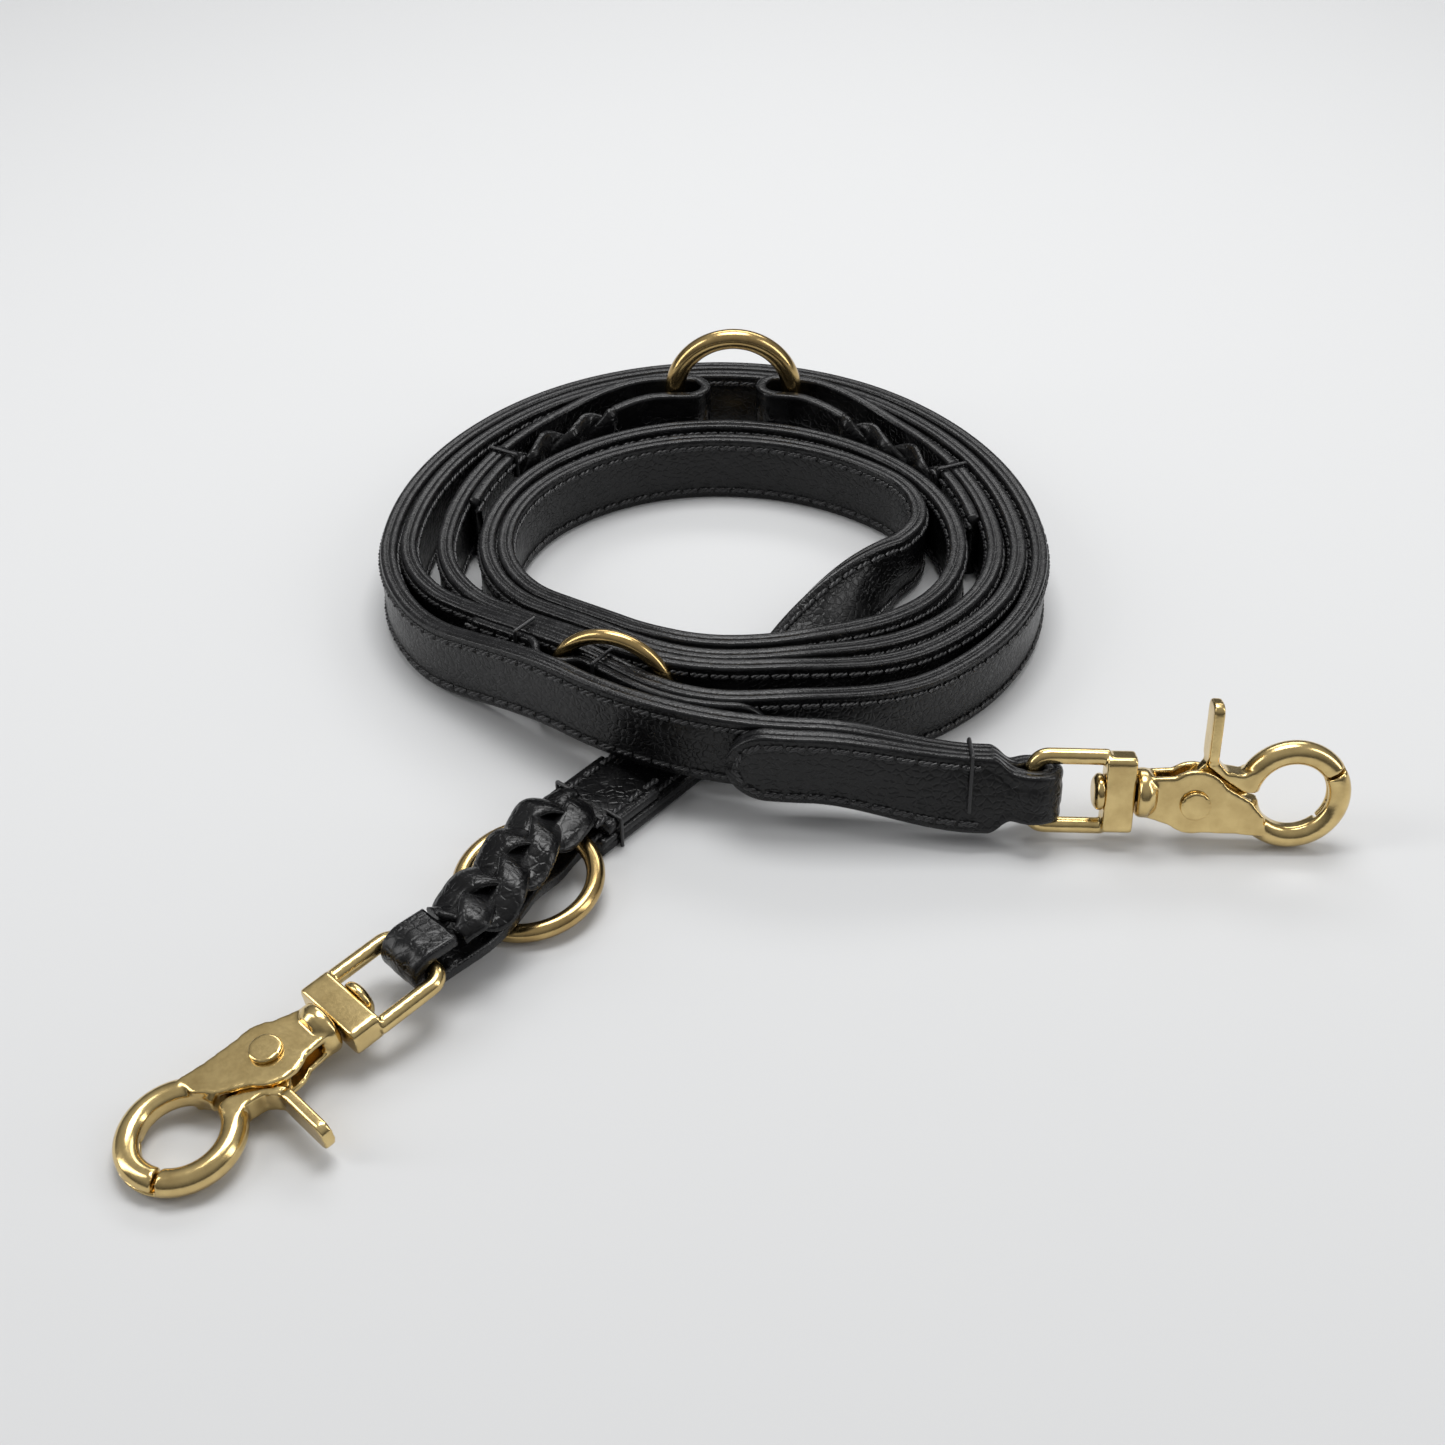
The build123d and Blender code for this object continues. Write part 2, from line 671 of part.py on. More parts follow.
with BuildPart() as keeper_band:
    half_keeper = keeper_thickness / 2
    keeper_turn = degrees(keeper_from / -second_front[1][0])
    keeper_start, keeper_heading = end_of(
        (right_x[0], side_y), -90, [second_front[0], (second_front[1][0], 45 - keeper_turn)])
    side = Vector(sin(radians(keeper_heading)), -cos(radians(keeper_heading)))
    keeper_start = Vector(*keeper_start) + side * keeper_middle
    keeper_moves = [(second_front[1][0] + keeper_middle, keeper_turn)]
    keeper_moves += [(second_front[2][0] + keeper_middle, second_front[2][1]), (0, tunnel[0])]
    keeper_moves += [(bulge_bend, bulge_turn), (-bulge_bend, bulge_turn)]
    keeper_moves += [(0, tunnel[1] - tunnel[0] - 2 * bulge_run)]
    keeper_moves += [(-bulge_bend, bulge_turn), (bulge_bend, bulge_turn)]
    keeper_moves += [(0, keeper_end - tunnel[1])]
    add(standing(strip((keeper_start.X, keeper_start.Y), keeper_heading, keeper_moves,
                       (-half_keeper, half_keeper)), hump(lift_long, 1)))
    with BuildSketch(Plane.XZ):
        with Locations((keeper_start.X - strap_width / 2, lift_long + strap_width / 2)):
            Circle(strap_width / 2)
            with Locations((-2 * strap_width, 0)):
                Rectangle(4 * strap_width, 2 * strap_width)
    extrude(amount=200, both=True, mode=Mode.INTERSECT)

# ---------------------------------------------------------------- stitches that tie the ends
thread = 1.0


def bar_tack(middle, out, up, near, far, drop, both_faces=True):
    """Thick thread wrapped over an edge: a staple across a stack of leather, or half of one."""
    r = thread / 2 + 0.02
    plane = Plane(middle, x_dir=out, z_dir=out.cross(up))
    with BuildPart() as tack:
        with BuildLine(plane):
            if both_faces:
                FilletPolyline((far + r, -drop), (far + r, r), (near - r, r), (near - r, -drop),
                               radius=0.45)
            else:
                FilletPolyline((far + r, -drop), (far + r, r), (near, r), radius=0.45)
        with BuildSketch(Plane(plane.from_local_coords((far + r, -drop, 0)), z_dir=up)):
            Circle(thread / 2)
        sweep()
    return tack.part


def heading_sides(heading):
    """Left-hand direction of a heading, and up."""
    return Vector(-sin(radians(heading)), cos(radians(heading))), Vector(0, 0, 1)


half_strap = strap_thickness / 2
stack = tail_side[1]
tacks = []
left_out, rise_way = heading_sides(left_tack_heading)
left_tack_back, _ = end_of((left_x[2], side_y), 90, [(left_bend[0], left_tack_turn - 1.5)])
tacks.append(bar_tack(Vector(*left_tack_back) + rise_way * strap_width, left_out, rise_way,
                      -stack, half_strap, 7))
right_out, _ = heading_sides(right_tack_heading)
right_tack_on, _ = end_of(right_tack, right_tack_heading, [(right_back[1][0], 1.5)])
tacks.append(bar_tack(Vector(*right_tack_on) + rise_way * strap_width, right_out, rise_way,
                      -stack, half_strap, 7))
run_out = run_side * -1
for distance in (tunnel[0] - 3, tunnel[1] + 3):
    spot = Vector(*run_start) + run_ahead * distance
    lift = lift_long * smooth(min(1, max(0, (spot.X - plateaus[1][0] + ramp) / ramp)))
    tacks.append(bar_tack(spot + rise_way * (strap_width + lift + 0.5), run_out, rise_way,
                          -half_strap, half_strap + glue_line + keeper_thickness, 5, False))
end_spot = Vector(*right_bar) + right_ahead * (-fold_x - fold_leg - 2.5) + end_up * (strap_width / 2)
tacks.append(bar_tack(end_spot + end_up * 0.1, end_back * -1, end_up, -half_pair - half_strap - 0.1,
                      half_pair + half_strap + 0.1, 14))
for sign, spot_s in ((1, 129.0), (-1, 129.0)):
    spot = left_point(spot_s, (strap_thickness + seat_gap + terminal_thickness) / 2,
                      sign * strap_width / 2)
    half_stack = (strap_thickness + seat_gap + terminal_thickness) / 2
    tacks.append(bar_tack(spot, Vector(0, 0, 1), across * sign, -half_stack, half_stack, 4, False))
tack_names = ["back_left", "back_right", "keeper_front", "keeper_back", "right_end",
              "left_end_far", "left_end_near"]

# ---------------------------------------------------------------- swivel snaps
# Each snap is drawn along +X: the eye's cross bar is at x = eye_bar, the collar begins at
# x = 0, the lever opens towards +Y and the face with the rivet's head is +Z.
eye_bar = -24.3
eye_half = 9.0             # to the middle of the eye's sides
eye_corner = 3.5
block = (-7.5, -0.3)
post_radius = 2.1
post_fit = 0.1
rivet_at = (13.8, -1.5)
rivet_radius = 1.6
rivet_fit = 0.06
cheek = (1.7, 3.3)
lobe_radius = 8.2
snap_ring = (37.0, 0.5)
snap_ring_radius = 10.8
snap_wire = 2.95
lap = 0.15                 # half the gap between the jaw's and the lever's lapped tips
lever_half = 1.6


def ring_arc(start, stop, low, high):
    """Stretch of the snap's round ring, from one bearing to another, between two heights."""
    with BuildPart(Plane((snap_ring[0], snap_ring[1], 0))) as arc:
        with BuildSketch(Plane((snap_ring[0], snap_ring[1], 0), x_dir=(1, 0, 0), z_dir=(0, -1, 0))):
            with Locations((snap_ring_radius, 0)):
                Circle(snap_wire)
                with Locations((0, (low + high) / 2)):
                    Rectangle(4 * snap_wire, high - low, mode=Mode.INTERSECT)
        revolve(axis=Axis((snap_ring[0], snap_ring[1], 0), (0, 0, 1)), revolution_arc=stop - start)
    turn = Axis((snap_ring[0], snap_ring[1], 0), (0, 0, 1))
    return arc.part.rotate(turn, start)


def hull(outline, low, high):
    """Flat plate between two heights from an outline of points."""
    with BuildPart() as plate:
        with BuildSketch(Plane.XY.offset(low)):
            with BuildLine():
                Polyline(*outline, close=True)
            make_face()
        extrude(amount=high - low)
    return plate.part


with BuildPart() as snap_eye:
    with BuildLine() as eye_line:
        FilletPolyline((block[0] + 1, eye_half), (eye_bar, eye_half), (eye_bar, -eye_half),
                       (block[0] + 1, -eye_half), radius=eye_corner)
    with BuildSketch(Plane((block[0] + 1, eye_half, 0), z_dir=(-1, 0, 0))):
        Circle(eye_wire / 2)
    sweep()
    with BuildSketch(Plane.YZ.offset(block[0])):
        RectangleRounded(2 * eye_half + 1.6, 6.8, 1.6)
    extrude(amount=block[1] - block[0])
    with Locations(Location((0, 0, 0), (0, 90, 0))):
        Cylinder(post_radius + post_fit, 40, mode=Mode.SUBTRACT,
                 align=(Align.CENTER, Align.CENTER, Align.CENTER))

with BuildPart() as snap_body:
    with BuildSketch(Plane.XY):
        with BuildLine():
            Polyline((-10, 0), (-10, 3.2), (-9, 4.5), (-7.6, 4.5), (-7.6, post_radius),
                     (0, post_radius), (0, 5.2), (0.8, 6), (2.6, 6), (4.5, 4.6), (4.5, 0), close=True)
        make_face()
    revolve(axis=Axis.X)
    for low, high in ((cheek[0], cheek[1]), (-cheek[1], -cheek[0])):
        add(hull([(2, 5.0), (8.5, 5.4), (8.5, -7.2), (2, -5.0)], low, high))
        with Locations((rivet_at[0], rivet_at[1] + 0.5, (low + high) / 2)):
            Cylinder(lobe_radius, high - low)
        add(hull([(15.5, 6.6), (20, 3.6), (26.6, -0.2), (30.5, -4.5), (30.5, -9.6), (24, -9.0),
                  (13.8, -8.9)], low, high))
    add(hull([(12, -8.9), (16, -8), (21, -3.2), (27, -2.2), (31, -7), (28, -9.6), (20, -9.0)],
             -cheek[0], cheek[0]))
    add(ring_arc(186, 315, -4, 4))
    add(ring_arc(314, 391, lap, 4))
    with Locations((rivet_at[0], rivet_at[1], 0)):
        Cylinder(6.0, 2 * cheek[0], mode=Mode.SUBTRACT)
        Cylinder(rivet_radius + 0.01, 20, mode=Mode.SUBTRACT)
    with Locations((snap_ring[0], snap_ring[1], 0)):
        Cylinder(snap_ring_radius - 2.6, 20, mode=Mode.SUBTRACT)

with BuildPart() as snap_lever:
    with Locations((rivet_at[0], rivet_at[1], 0)):
        Cylinder(5.6, 2 * lever_half)
    add(hull([(rivet_at[0] - 3, 2.5), (15.7, 9), (18.3, 9), (21, 6), (27, 6), (27, 1.4),
              (20, -0.6), (17.5, -2.0)], -lever_half, lever_half))
    add(hull([(15.9, 8.3), (18.6, 9.2), (20.6, 6.8), (24.5, 6.2), (29.0, 8.6), (28.0, 2.6),
              (26.4, 1.7), (24.0, 2.4), (20.5, 4.7), (17.3, 7.2)], -2.9, 2.9))
    add(ring_arc(35, 174, -4, 4))
    add(ring_arc(-42, 36, -4, -lap))
    with BuildSketch(Plane.YZ.offset(15.7)):
        with Locations((16.25, 0)):
            RectangleRounded(15.5, 7.0, 2.4)
    extrude(amount=2.6)
    with Locations((snap_ring[0], snap_ring[1], 0)):
        Cylinder(snap_ring_radius - 2.6, 20, mode=Mode.SUBTRACT)
    with Locations((rivet_at[0], rivet_at[1], 0)):
        Cylinder(rivet_radius + rivet_fit, 20, mode=Mode.SUBTRACT)
    with Locations((rivet_at[0], rivet_at[1], -lever_half)):
        Cylinder(4.0, 2.4, mode=Mode.SUBTRACT)

with BuildPart() as snap_rivet:
    with Locations((rivet_at[0], rivet_at[1], 0)):
        Cylinder(rivet_radius, 2 * cheek[1] + 0.4)
    for sign in (1, -1):
        with Locations((rivet_at[0], rivet_at[1], sign * (cheek[1] + 0.6))):
            Cylinder(3.6, 1.2)

with BuildPart() as snap_spring:
    with Locations((rivet_at[0], rivet_at[1], -cheek[0] + 0.5)):
        Cylinder(3.7, 1.0)
        Cylinder(2.3, 1.0, mode=Mode.SUBTRACT)

left_pitch = radians(-6.2)
left_ahead = left_snap_way * cos(left_pitch) + Vector(0, 0, 1) * sin(left_pitch)
snap_planes = {
    "right": Plane(Vector(*right_bar) - right_ahead * eye_bar, x_dir=right_ahead,
                   z_dir=right_ahead.cross(end_up)),
    "left": Plane(left_bar - left_ahead * eye_bar, x_dir=left_ahead, z_dir=left_ahead.cross(left_snap_side)),
}

# ---------------------------------------------------------------- all pieces, in place
keep(beside_front_ring(joined(long_strap(outer_ply))), "long_strap_outer_ply")
keep(beside_front_ring(joined(long_strap(lining_ply))), "long_strap_lining_ply")
keep(beside_front_ring(joined(short_strap(outer_ply))), "short_strap_outer_ply")
keep(beside_front_ring(joined(short_strap(lining_ply))), "short_strap_lining_ply")
keep(beside_front_ring(keeper_band.part), "ring_keeper")
keep(back_left_loop, "back_left_loop")
for number, strand in enumerate(back_left_braid, 1):
    keep(strand, f"back_left_strand_{number}")
keep(back_left_tail, "back_left_tail")
keep(back_right_loop, "back_right_loop")
for number, strand in enumerate(back_right_braid, 1):
    keep(strand, f"back_right_strand_{number}")
keep(back_right_tail, "back_right_tail")
keep(beside_braid_ring(left_lower.part), "left_end_fold")
for number, strand in enumerate(left_braid, 1):
    keep(beside_braid_ring(strand), f"left_end_strand_{number}")
keep(left_tail.part, "left_end_tail")
keep(back_ring, "back_ring")
keep(front_ring, "front_ring")
keep(braid_ring, "braid_ring")
for tack, name in zip(tacks, tack_names):
    keep(tack, f"tack_{name}")
for side, plane in snap_planes.items():
    for block_name, piece in (("eye", snap_eye), ("body", snap_body), ("lever", snap_lever),
                              ("rivet", snap_rivet), ("spring", snap_spring)):
        keep(plane.location * piece.part, f"{side}_snap_{block_name}")

boxes = [piece.bounding_box() for piece in pieces]
origin = Vector((min(b.min.X for b in boxes) + max(b.max.X for b in boxes)) / 2,
                (min(b.min.Y for b in boxes) + max(b.max.Y for b in boxes)) / 2,
                min(b.min.Z for b in boxes))
for piece in pieces:
    placed = piece.moved(Location(origin * -1))
    placed.label = piece.label
    print(placed.label, len(placed.solids()), round(placed.volume, 1))
    export_step(placed, f"parts/{placed.label}.step")
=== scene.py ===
import json
from math import atan2, cos, degrees, pi, radians, sin, sqrt

import bmesh
import bpy
from mathutils import Matrix, Vector


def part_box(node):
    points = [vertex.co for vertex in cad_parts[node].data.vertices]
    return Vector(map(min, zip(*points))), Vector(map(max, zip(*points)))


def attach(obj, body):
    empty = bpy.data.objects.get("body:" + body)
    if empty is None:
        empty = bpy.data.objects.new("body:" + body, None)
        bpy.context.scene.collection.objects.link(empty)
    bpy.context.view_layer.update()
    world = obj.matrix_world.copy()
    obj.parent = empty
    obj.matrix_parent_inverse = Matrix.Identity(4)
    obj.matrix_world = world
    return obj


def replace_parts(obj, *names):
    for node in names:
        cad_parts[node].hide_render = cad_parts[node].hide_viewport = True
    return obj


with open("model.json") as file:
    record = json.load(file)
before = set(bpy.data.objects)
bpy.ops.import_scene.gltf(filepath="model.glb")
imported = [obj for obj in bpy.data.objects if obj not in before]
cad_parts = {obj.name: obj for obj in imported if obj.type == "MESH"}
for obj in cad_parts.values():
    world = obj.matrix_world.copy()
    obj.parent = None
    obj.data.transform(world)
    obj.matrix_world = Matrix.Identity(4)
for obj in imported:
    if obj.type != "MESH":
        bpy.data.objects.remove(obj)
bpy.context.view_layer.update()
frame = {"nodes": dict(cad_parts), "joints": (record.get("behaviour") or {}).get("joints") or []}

# ---------------------------------------------------------------- floor, light and camera
# A pale seamless floor under one large soft light from above and one from behind, and
# two soft strips at the sides. The sky is darker near the horizon, which gives the brass
# its dark reflections.
low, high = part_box("back_ring")
back_ring_middle = Vector((3.3, 135.0, 21.0))
back_ring_radius = 18.0
shift = (Vector(low) + Vector(high)) / 2 - back_ring_middle * 0.001


def new_material(name, colour, roughness, metallic=0.0):
    """Principled material with its shader, ready for its own nodes."""
    material = bpy.data.materials.new(name)
    material.use_nodes = True
    shader = material.node_tree.nodes["Principled BSDF"]
    shader.inputs["Base Color"].default_value = (*colour, 1)
    shader.inputs["Roughness"].default_value = roughness
    shader.inputs["Metallic"].default_value = metallic
    return material, material.node_tree, shader


paper, paper_tree, paper_shader = new_material("seamless_paper", (0.60, 0.605, 0.61), 0.9)
paper_noise = paper_tree.nodes.new("ShaderNodeTexNoise")
paper_noise.inputs["Scale"].default_value = 900
paper_bump = paper_tree.nodes.new("ShaderNodeBump")
paper_bump.inputs["Strength"].default_value = 0.02
paper_tree.links.new(paper_noise.outputs["Fac"], paper_bump.inputs["Height"])
paper_tree.links.new(paper_bump.outputs["Normal"], paper_shader.inputs["Normal"])
bpy.ops.mesh.primitive_plane_add(size=8, location=(0, 0, 0))
floor = bpy.context.object
floor.name = "floor"
floor.data.materials.append(paper)

world = bpy.data.worlds.new("studio")
bpy.context.scene.world = world
world.use_nodes = True
world.node_tree.nodes["Background"].inputs["Strength"].default_value = 0.42
sky_way = world.node_tree.nodes.new("ShaderNodeTexCoord")
sky_up = world.node_tree.nodes.new("ShaderNodeSeparateXYZ")
sky_tone = world.node_tree.nodes.new("ShaderNodeValToRGB")
sky_tone.color_ramp.elements[0].position = 0.15
sky_tone.color_ramp.elements[0].color = (0.22, 0.22, 0.23, 1)
sky_tone.color_ramp.elements[1].position = 0.75
sky_tone.color_ramp.elements[1].color = (1, 1, 1, 1)
world.node_tree.links.new(sky_way.outputs["Generated"], sky_up.inputs[0])
world.node_tree.links.new(sky_up.outputs["Z"], sky_tone.inputs["Fac"])
world.node_tree.links.new(sky_tone.outputs["Color"], world.node_tree.nodes["Background"].inputs["Color"])


def soft_light(name, place, size, power):
    """Rectangular soft light that looks at the middle of the coil."""
    lamp = bpy.data.lights.new(name, "AREA")
    lamp.shape = "RECTANGLE"
    lamp.size, lamp.size_y = size
    lamp.energy = power
    box = bpy.data.objects.new(name, lamp)
    bpy.context.collection.objects.link(box)
    box.location = place
    box.rotation_euler = (-Vector(place)).to_track_quat("-Z", "Y").to_euler()


soft_light("overhead", (0.0, 0.25, 1.0), (0.6, 0.4), 7.0)
soft_light("behind", (0.1, 0.85, 0.75), (1.0, 0.25), 3.5)
soft_light("left_strip", (-0.9, -0.1, 0.5), (0.2, 0.9), 3.0)
soft_light("right_strip", (0.9, -0.2, 0.55), (0.2, 0.9), 3.0)

camera = bpy.data.objects.new("camera", bpy.data.cameras.new("camera"))
bpy.context.collection.objects.link(camera)
camera.location = Vector((0, -0.3704, 0.3053)) + shift
camera.rotation_euler = (radians(50.5), 0, 0)
camera.data.lens = 36 * 1850 / 1445
bpy.context.scene.camera = camera
bpy.context.scene.view_settings.view_transform = "Standard"

# ---------------------------------------------------------------- routes of the two straps
# The rein is two stitched straps that stand on edge in one loose coil. These routes
# are the mid-lines of the straps, in millimetres, with z = 0 on the floor.
strap_width = 20.0
strap_thickness = 4.5
side_y = 58.0
left_x = [-92.0, -86.7, -76.5, -65.0, -60.0]
left_corner = [60.0, 38.5, 41.5, 43.4, 37.9]
back_at = [(-1.0, 154.0), (-1.0, 149.0), None, (-1.0, 118.2), (-1.0, 110.0)]
right_x = [87.2, 81.5, 75.2, 65.0]
front_at = [None, (4.0, -20.8), (4.0, -8.6), (2.0, -3.0), (2.0, 3.0)]
front_run = 142.0
ramp = 45.0
plateaus = [(-38.0, 30.0), (-31.6, 12.0), (-21.6, 10.4), (-17.3, 14.7), (-12.2, 19.8)]
first_front = (20.75, -34.1)
loop_offset = 5.4
up_way = Vector((0, 0, 1))


def way(heading):
    """Direction of a heading in degrees."""
    return Vector((cos(radians(heading)), sin(radians(heading)), 0))


def right_of(heading):
    """Direction to the right of a heading."""
    return Vector((sin(radians(heading)), -cos(radians(heading)), 0))


def smooth(share):
    """An even start and an even end, from 0 to 1."""
    share = min(1, max(0, share))
    return share * share * (3 - 2 * share)


def rounded_width(inward):
    """Width of a strap this far in from its rounded tip."""
    half = strap_width / 2
    return strap_width if inward > half else 2 * sqrt(max(0.04, half ** 2 - (half - inward) ** 2))


def walk(start, heading, moves, spacing=1.4):
    """Points and headings along bends (radius, degrees; negative turns right) and straights."""
    point = Vector((start[0], start[1], 0))
    steps = [(point.copy(), heading)]
    for radius, amount in moves:
        length = abs(radians(amount) * radius) if radius else amount
        count = max(1, round(length / spacing))
        for step in range(1, count + 1):
            share = step / count
            if radius:
                sign = 1 if radius > 0 else -1
                angle = heading + sign * amount * share
                centre = point - right_of(heading) * radius
                steps.append((centre + right_of(angle) * radius, angle))
            else:
                steps.append((point + way(heading) * (length * share), heading))
        point, heading = steps[-1][0].copy(), steps[-1][1]
    return steps


def quarter(start, end, heading):
    """Two 45 degree bends to the right that join two sides of the coil."""
    step = Vector(end) - Vector(start)
    forward = step.dot(way(heading).xy)
    sideways = step.dot(right_of(heading).xy)
    s = sin(radians(45))
    c = 1 - s
    first = (s * forward - c * sideways) / (s * s - c * c)
    second = (s * sideways - c * forward) / (s * s - c * c)
    return [(-first, 45), (-second, 45)]


def front_left(start, end, corner, heading=180.0):
    """A bend, a straight run and a corner, from the front to the left side."""
    ahead = way(front_run).xy
    corner_start = Vector(end) - corner * Vector((-1 + sin(radians(front_run)), -cos(radians(front_run))))
    bend = Vector((sin(radians(heading)) - ahead.y, ahead.x - cos(radians(heading))))
    gap = corner_start - Vector(start)
    radius = (gap.x * ahead.y - gap.y * ahead.x) / (bend.x * ahead.y - bend.y * ahead.x)
    return [(-radius, heading - front_run), (0, (gap - bend * radius).dot(ahead)),
            (-corner, front_run - 90)]


def standing(steps, lift=0.0, turn=0):
    """Strap frames (middle, right-hand side, up, width) that climb over what they cross."""
    frames = []
    for point, heading in steps:
        left, right = plateaus[turn]
        climb = smooth((point.x - left + ramp) / ramp) * smooth((right + ramp - point.x) / ramp)
        middle = point + up_way * (strap_width / 2 + lift * climb)
        frames.append((middle, right_of(heading), up_way, strap_width))
    return frames


def turn_front(index):
    """From the right side of a turn, round the front, to the left side of the next."""
    middle = front_at[index]
    moves = quarter((right_x[index - 1], side_y), middle, -90)
    moves += front_left(middle, (left_x[index], side_y), left_corner[index])
    return walk((right_x[index - 1], side_y), -90, moves)


def turn_back(index):
    """From the left side of a turn, round the back, to its right side."""
    start = (left_x[index], side_y)
    moves = quarter(start, back_at[index], 90) + quarter(back_at[index], (right_x[index], side_y), 0)
    return walk(start, 90, moves)


# ---------------------------------------------------------------- black leather and its painted edges
# Bridle leather with a pebbled grain, waxed, and creased where it bends. The edges
# are shaved round, painted and rubbed, so they are smoother and catch the light.
def leather_grain_group():
    """Height of pebbled grain with creases, and a mask of worn high spots."""
    group = bpy.data.node_groups.new("leather_grain", "ShaderNodeTree")
    scale_socket = group.interface.new_socket("Scale", in_out="INPUT", socket_type="NodeSocketFloat")
    scale_socket.default_value = 1.0
    group.interface.new_socket("Height", in_out="OUTPUT", socket_type="NodeSocketFloat")
    group.interface.new_socket("Wear", in_out="OUTPUT", socket_type="NodeSocketFloat")
    nodes, links = group.nodes, group.links
    inside = nodes.new("NodeGroupInput")
    outside = nodes.new("NodeGroupOutput")
    where = nodes.new("ShaderNodeTexCoord")
    sized = nodes.new("ShaderNodeVectorMath")
    sized.operation = "SCALE"
    links.new(where.outputs["Object"], sized.inputs[0])
    links.new(inside.outputs["Scale"], sized.inputs["Scale"])
    warp = nodes.new("ShaderNodeTexNoise")
    warp.inputs["Scale"].default_value = 350
    warp.inputs["Detail"].default_value = 3
    links.new(sized.outputs[0], warp.inputs["Vector"])
    bent = nodes.new("ShaderNodeMix")
    bent.data_type = "VECTOR"
    bent.inputs["Factor"].default_value = 0.0016
    links.new(sized.outputs[0], bent.inputs["A"])
    links.new(warp.outputs["Color"], bent.inputs["B"])
    pebbles = nodes.new("ShaderNodeTexVoronoi")
    pebbles.feature = "DISTANCE_TO_EDGE"
    pebbles.inputs["Scale"].default_value = 750
    links.new(bent.outputs["Result"], pebbles.inputs["Vector"])
    valley = nodes.new("ShaderNodeMapRange")
    valley.interpolation_type = "SMOOTHSTEP"
    valley.inputs["From Max"].default_value = 0.22
    links.new(pebbles.outputs["Distance"], valley.inputs["Value"])
    creases = nodes.new("ShaderNodeTexNoise")
    creases.inputs["Scale"].default_value = 160
    creases.inputs["Detail"].default_value = 6
    creases.inputs["Distortion"].default_value = 0.8
    links.new(sized.outputs[0], creases.inputs["Vector"])
    both = nodes.new("ShaderNodeMath")
    both.operation = "MULTIPLY_ADD"
    both.inputs[1].default_value = 0.35
    links.new(valley.outputs["Result"], both.inputs[0])
    links.new(creases.outputs["Fac"], both.inputs[2])
    links.new(both.outputs[0], outside.inputs["Height"])
    worn = nodes.new("ShaderNodeMapRange")
    worn.inputs["From Min"].default_value = 0.45
    worn.inputs["From Max"].default_value = 0.75
    links.new(creases.outputs["Fac"], worn.inputs["Value"])
    links.new(worn.outputs["Result"], outside.inputs["Wear"])
    return group


grain_group = leather_grain_group()


def leather(name, colour, worn_colour, roughness, bump, scale=1.0):
    """Black leather whose grain, wear and gloss come from the shared grain."""
    material, tree, shader = new_material(name, colour, roughness)
    grain = tree.nodes.new("ShaderNodeGroup")
    grain.node_tree = grain_group
    grain.inputs["Scale"].default_value = scale
    tint = tree.nodes.new("ShaderNodeMix")
    tint.data_type = "RGBA"
    tint.inputs["A"].default_value = (*colour, 1)
    tint.inputs["B"].default_value = (*worn_colour, 1)
    tree.links.new(grain.outputs["Wear"], tint.inputs["Factor"])
    tree.links.new(tint.outputs["Result"], shader.inputs["Base Color"])
    gloss = tree.nodes.new("ShaderNodeMapRange")
    gloss.inputs["To Min"].default_value = roughness - 0.06
    gloss.inputs["To Max"].default_value = roughness + 0.12
    tree.links.new(grain.outputs["Wear"], gloss.inputs["Value"])
    tree.links.new(gloss.outputs["Result"], shader.inputs["Roughness"])
    relief = tree.nodes.new("ShaderNodeBump")
    relief.inputs["Strength"].default_value = bump
    relief.inputs["Distance"].default_value = 0.0004
    tree.links.new(grain.outputs["Height"], relief.inputs["Height"])
    tree.links.new(relief.outputs["Normal"], shader.inputs["Normal"])
    shader.inputs["Specular IOR Level"].default_value = 0.24
    shader.inputs["Coat Weight"].default_value = 0.12
    shader.inputs["Coat Roughness"].default_value = roughness * 0.6
    return material


grain_leather = leather("grain_leather", (0.0035, 0.0035, 0.0038), (0.009, 0.009, 0.0095), 0.34, 0.9, 0.72)
smooth_leather = leather("smooth_leather", (0.003, 0.003, 0.0033), (0.008, 0.008, 0.0085), 0.28, 0.5, 0.6)
painted_edge = leather("painted_edge", (0.006, 0.006, 0.0065), (0.016, 0.016, 0.017), 0.26, 0.25, 1.3)


def leather_profile(width, thickness, rows=True, plies=2):
    """Cross section of a strap as (across, up, is edge) points, right face first."""
    half, tall = thickness / 2, width / 2
    dip = 0.16 if rows else 0.0
    crown = min(0.12, tall * 0.02)
    face = [(half, tall - 0.9, 1), (half, tall - 1.7, 0), (half - dip, tall - 2.7, 0),
            (half, tall - 3.9, 0), (half + crown, tall * 0.3, 0), (half + crown, -tall * 0.3, 0),
            (half, -tall + 3.9, 0), (half - dip, -tall + 2.7, 0), (half, -tall + 1.7, 0),
            (half, -tall + 0.9, 1)]
    if tall < 4.2:
        face = [(half, tall * 0.8, 1), (half + crown, tall * 0.3, 0), (half + crown, -tall * 0.3, 0),
                (half, -tall * 0.8, 1)]
    line = 0.14 if plies == 2 else 0.0
    edge = [(half - 0.18, -tall + 0.35, 1), (half - 0.6, -tall + 0.06, 1), (0.22, -tall, 1),
            (0.0, -tall + line * 2, 1), (-0.22, -tall, 1), (-half + 0.6, -tall + 0.06, 1),
            (-half + 0.18, -tall + 0.35, 1)]
    back = [(-x, -y, kind) for x, y, kind in face]
    top = [(-x, -y, kind) for x, y, kind in edge]
    return face + edge + back + top


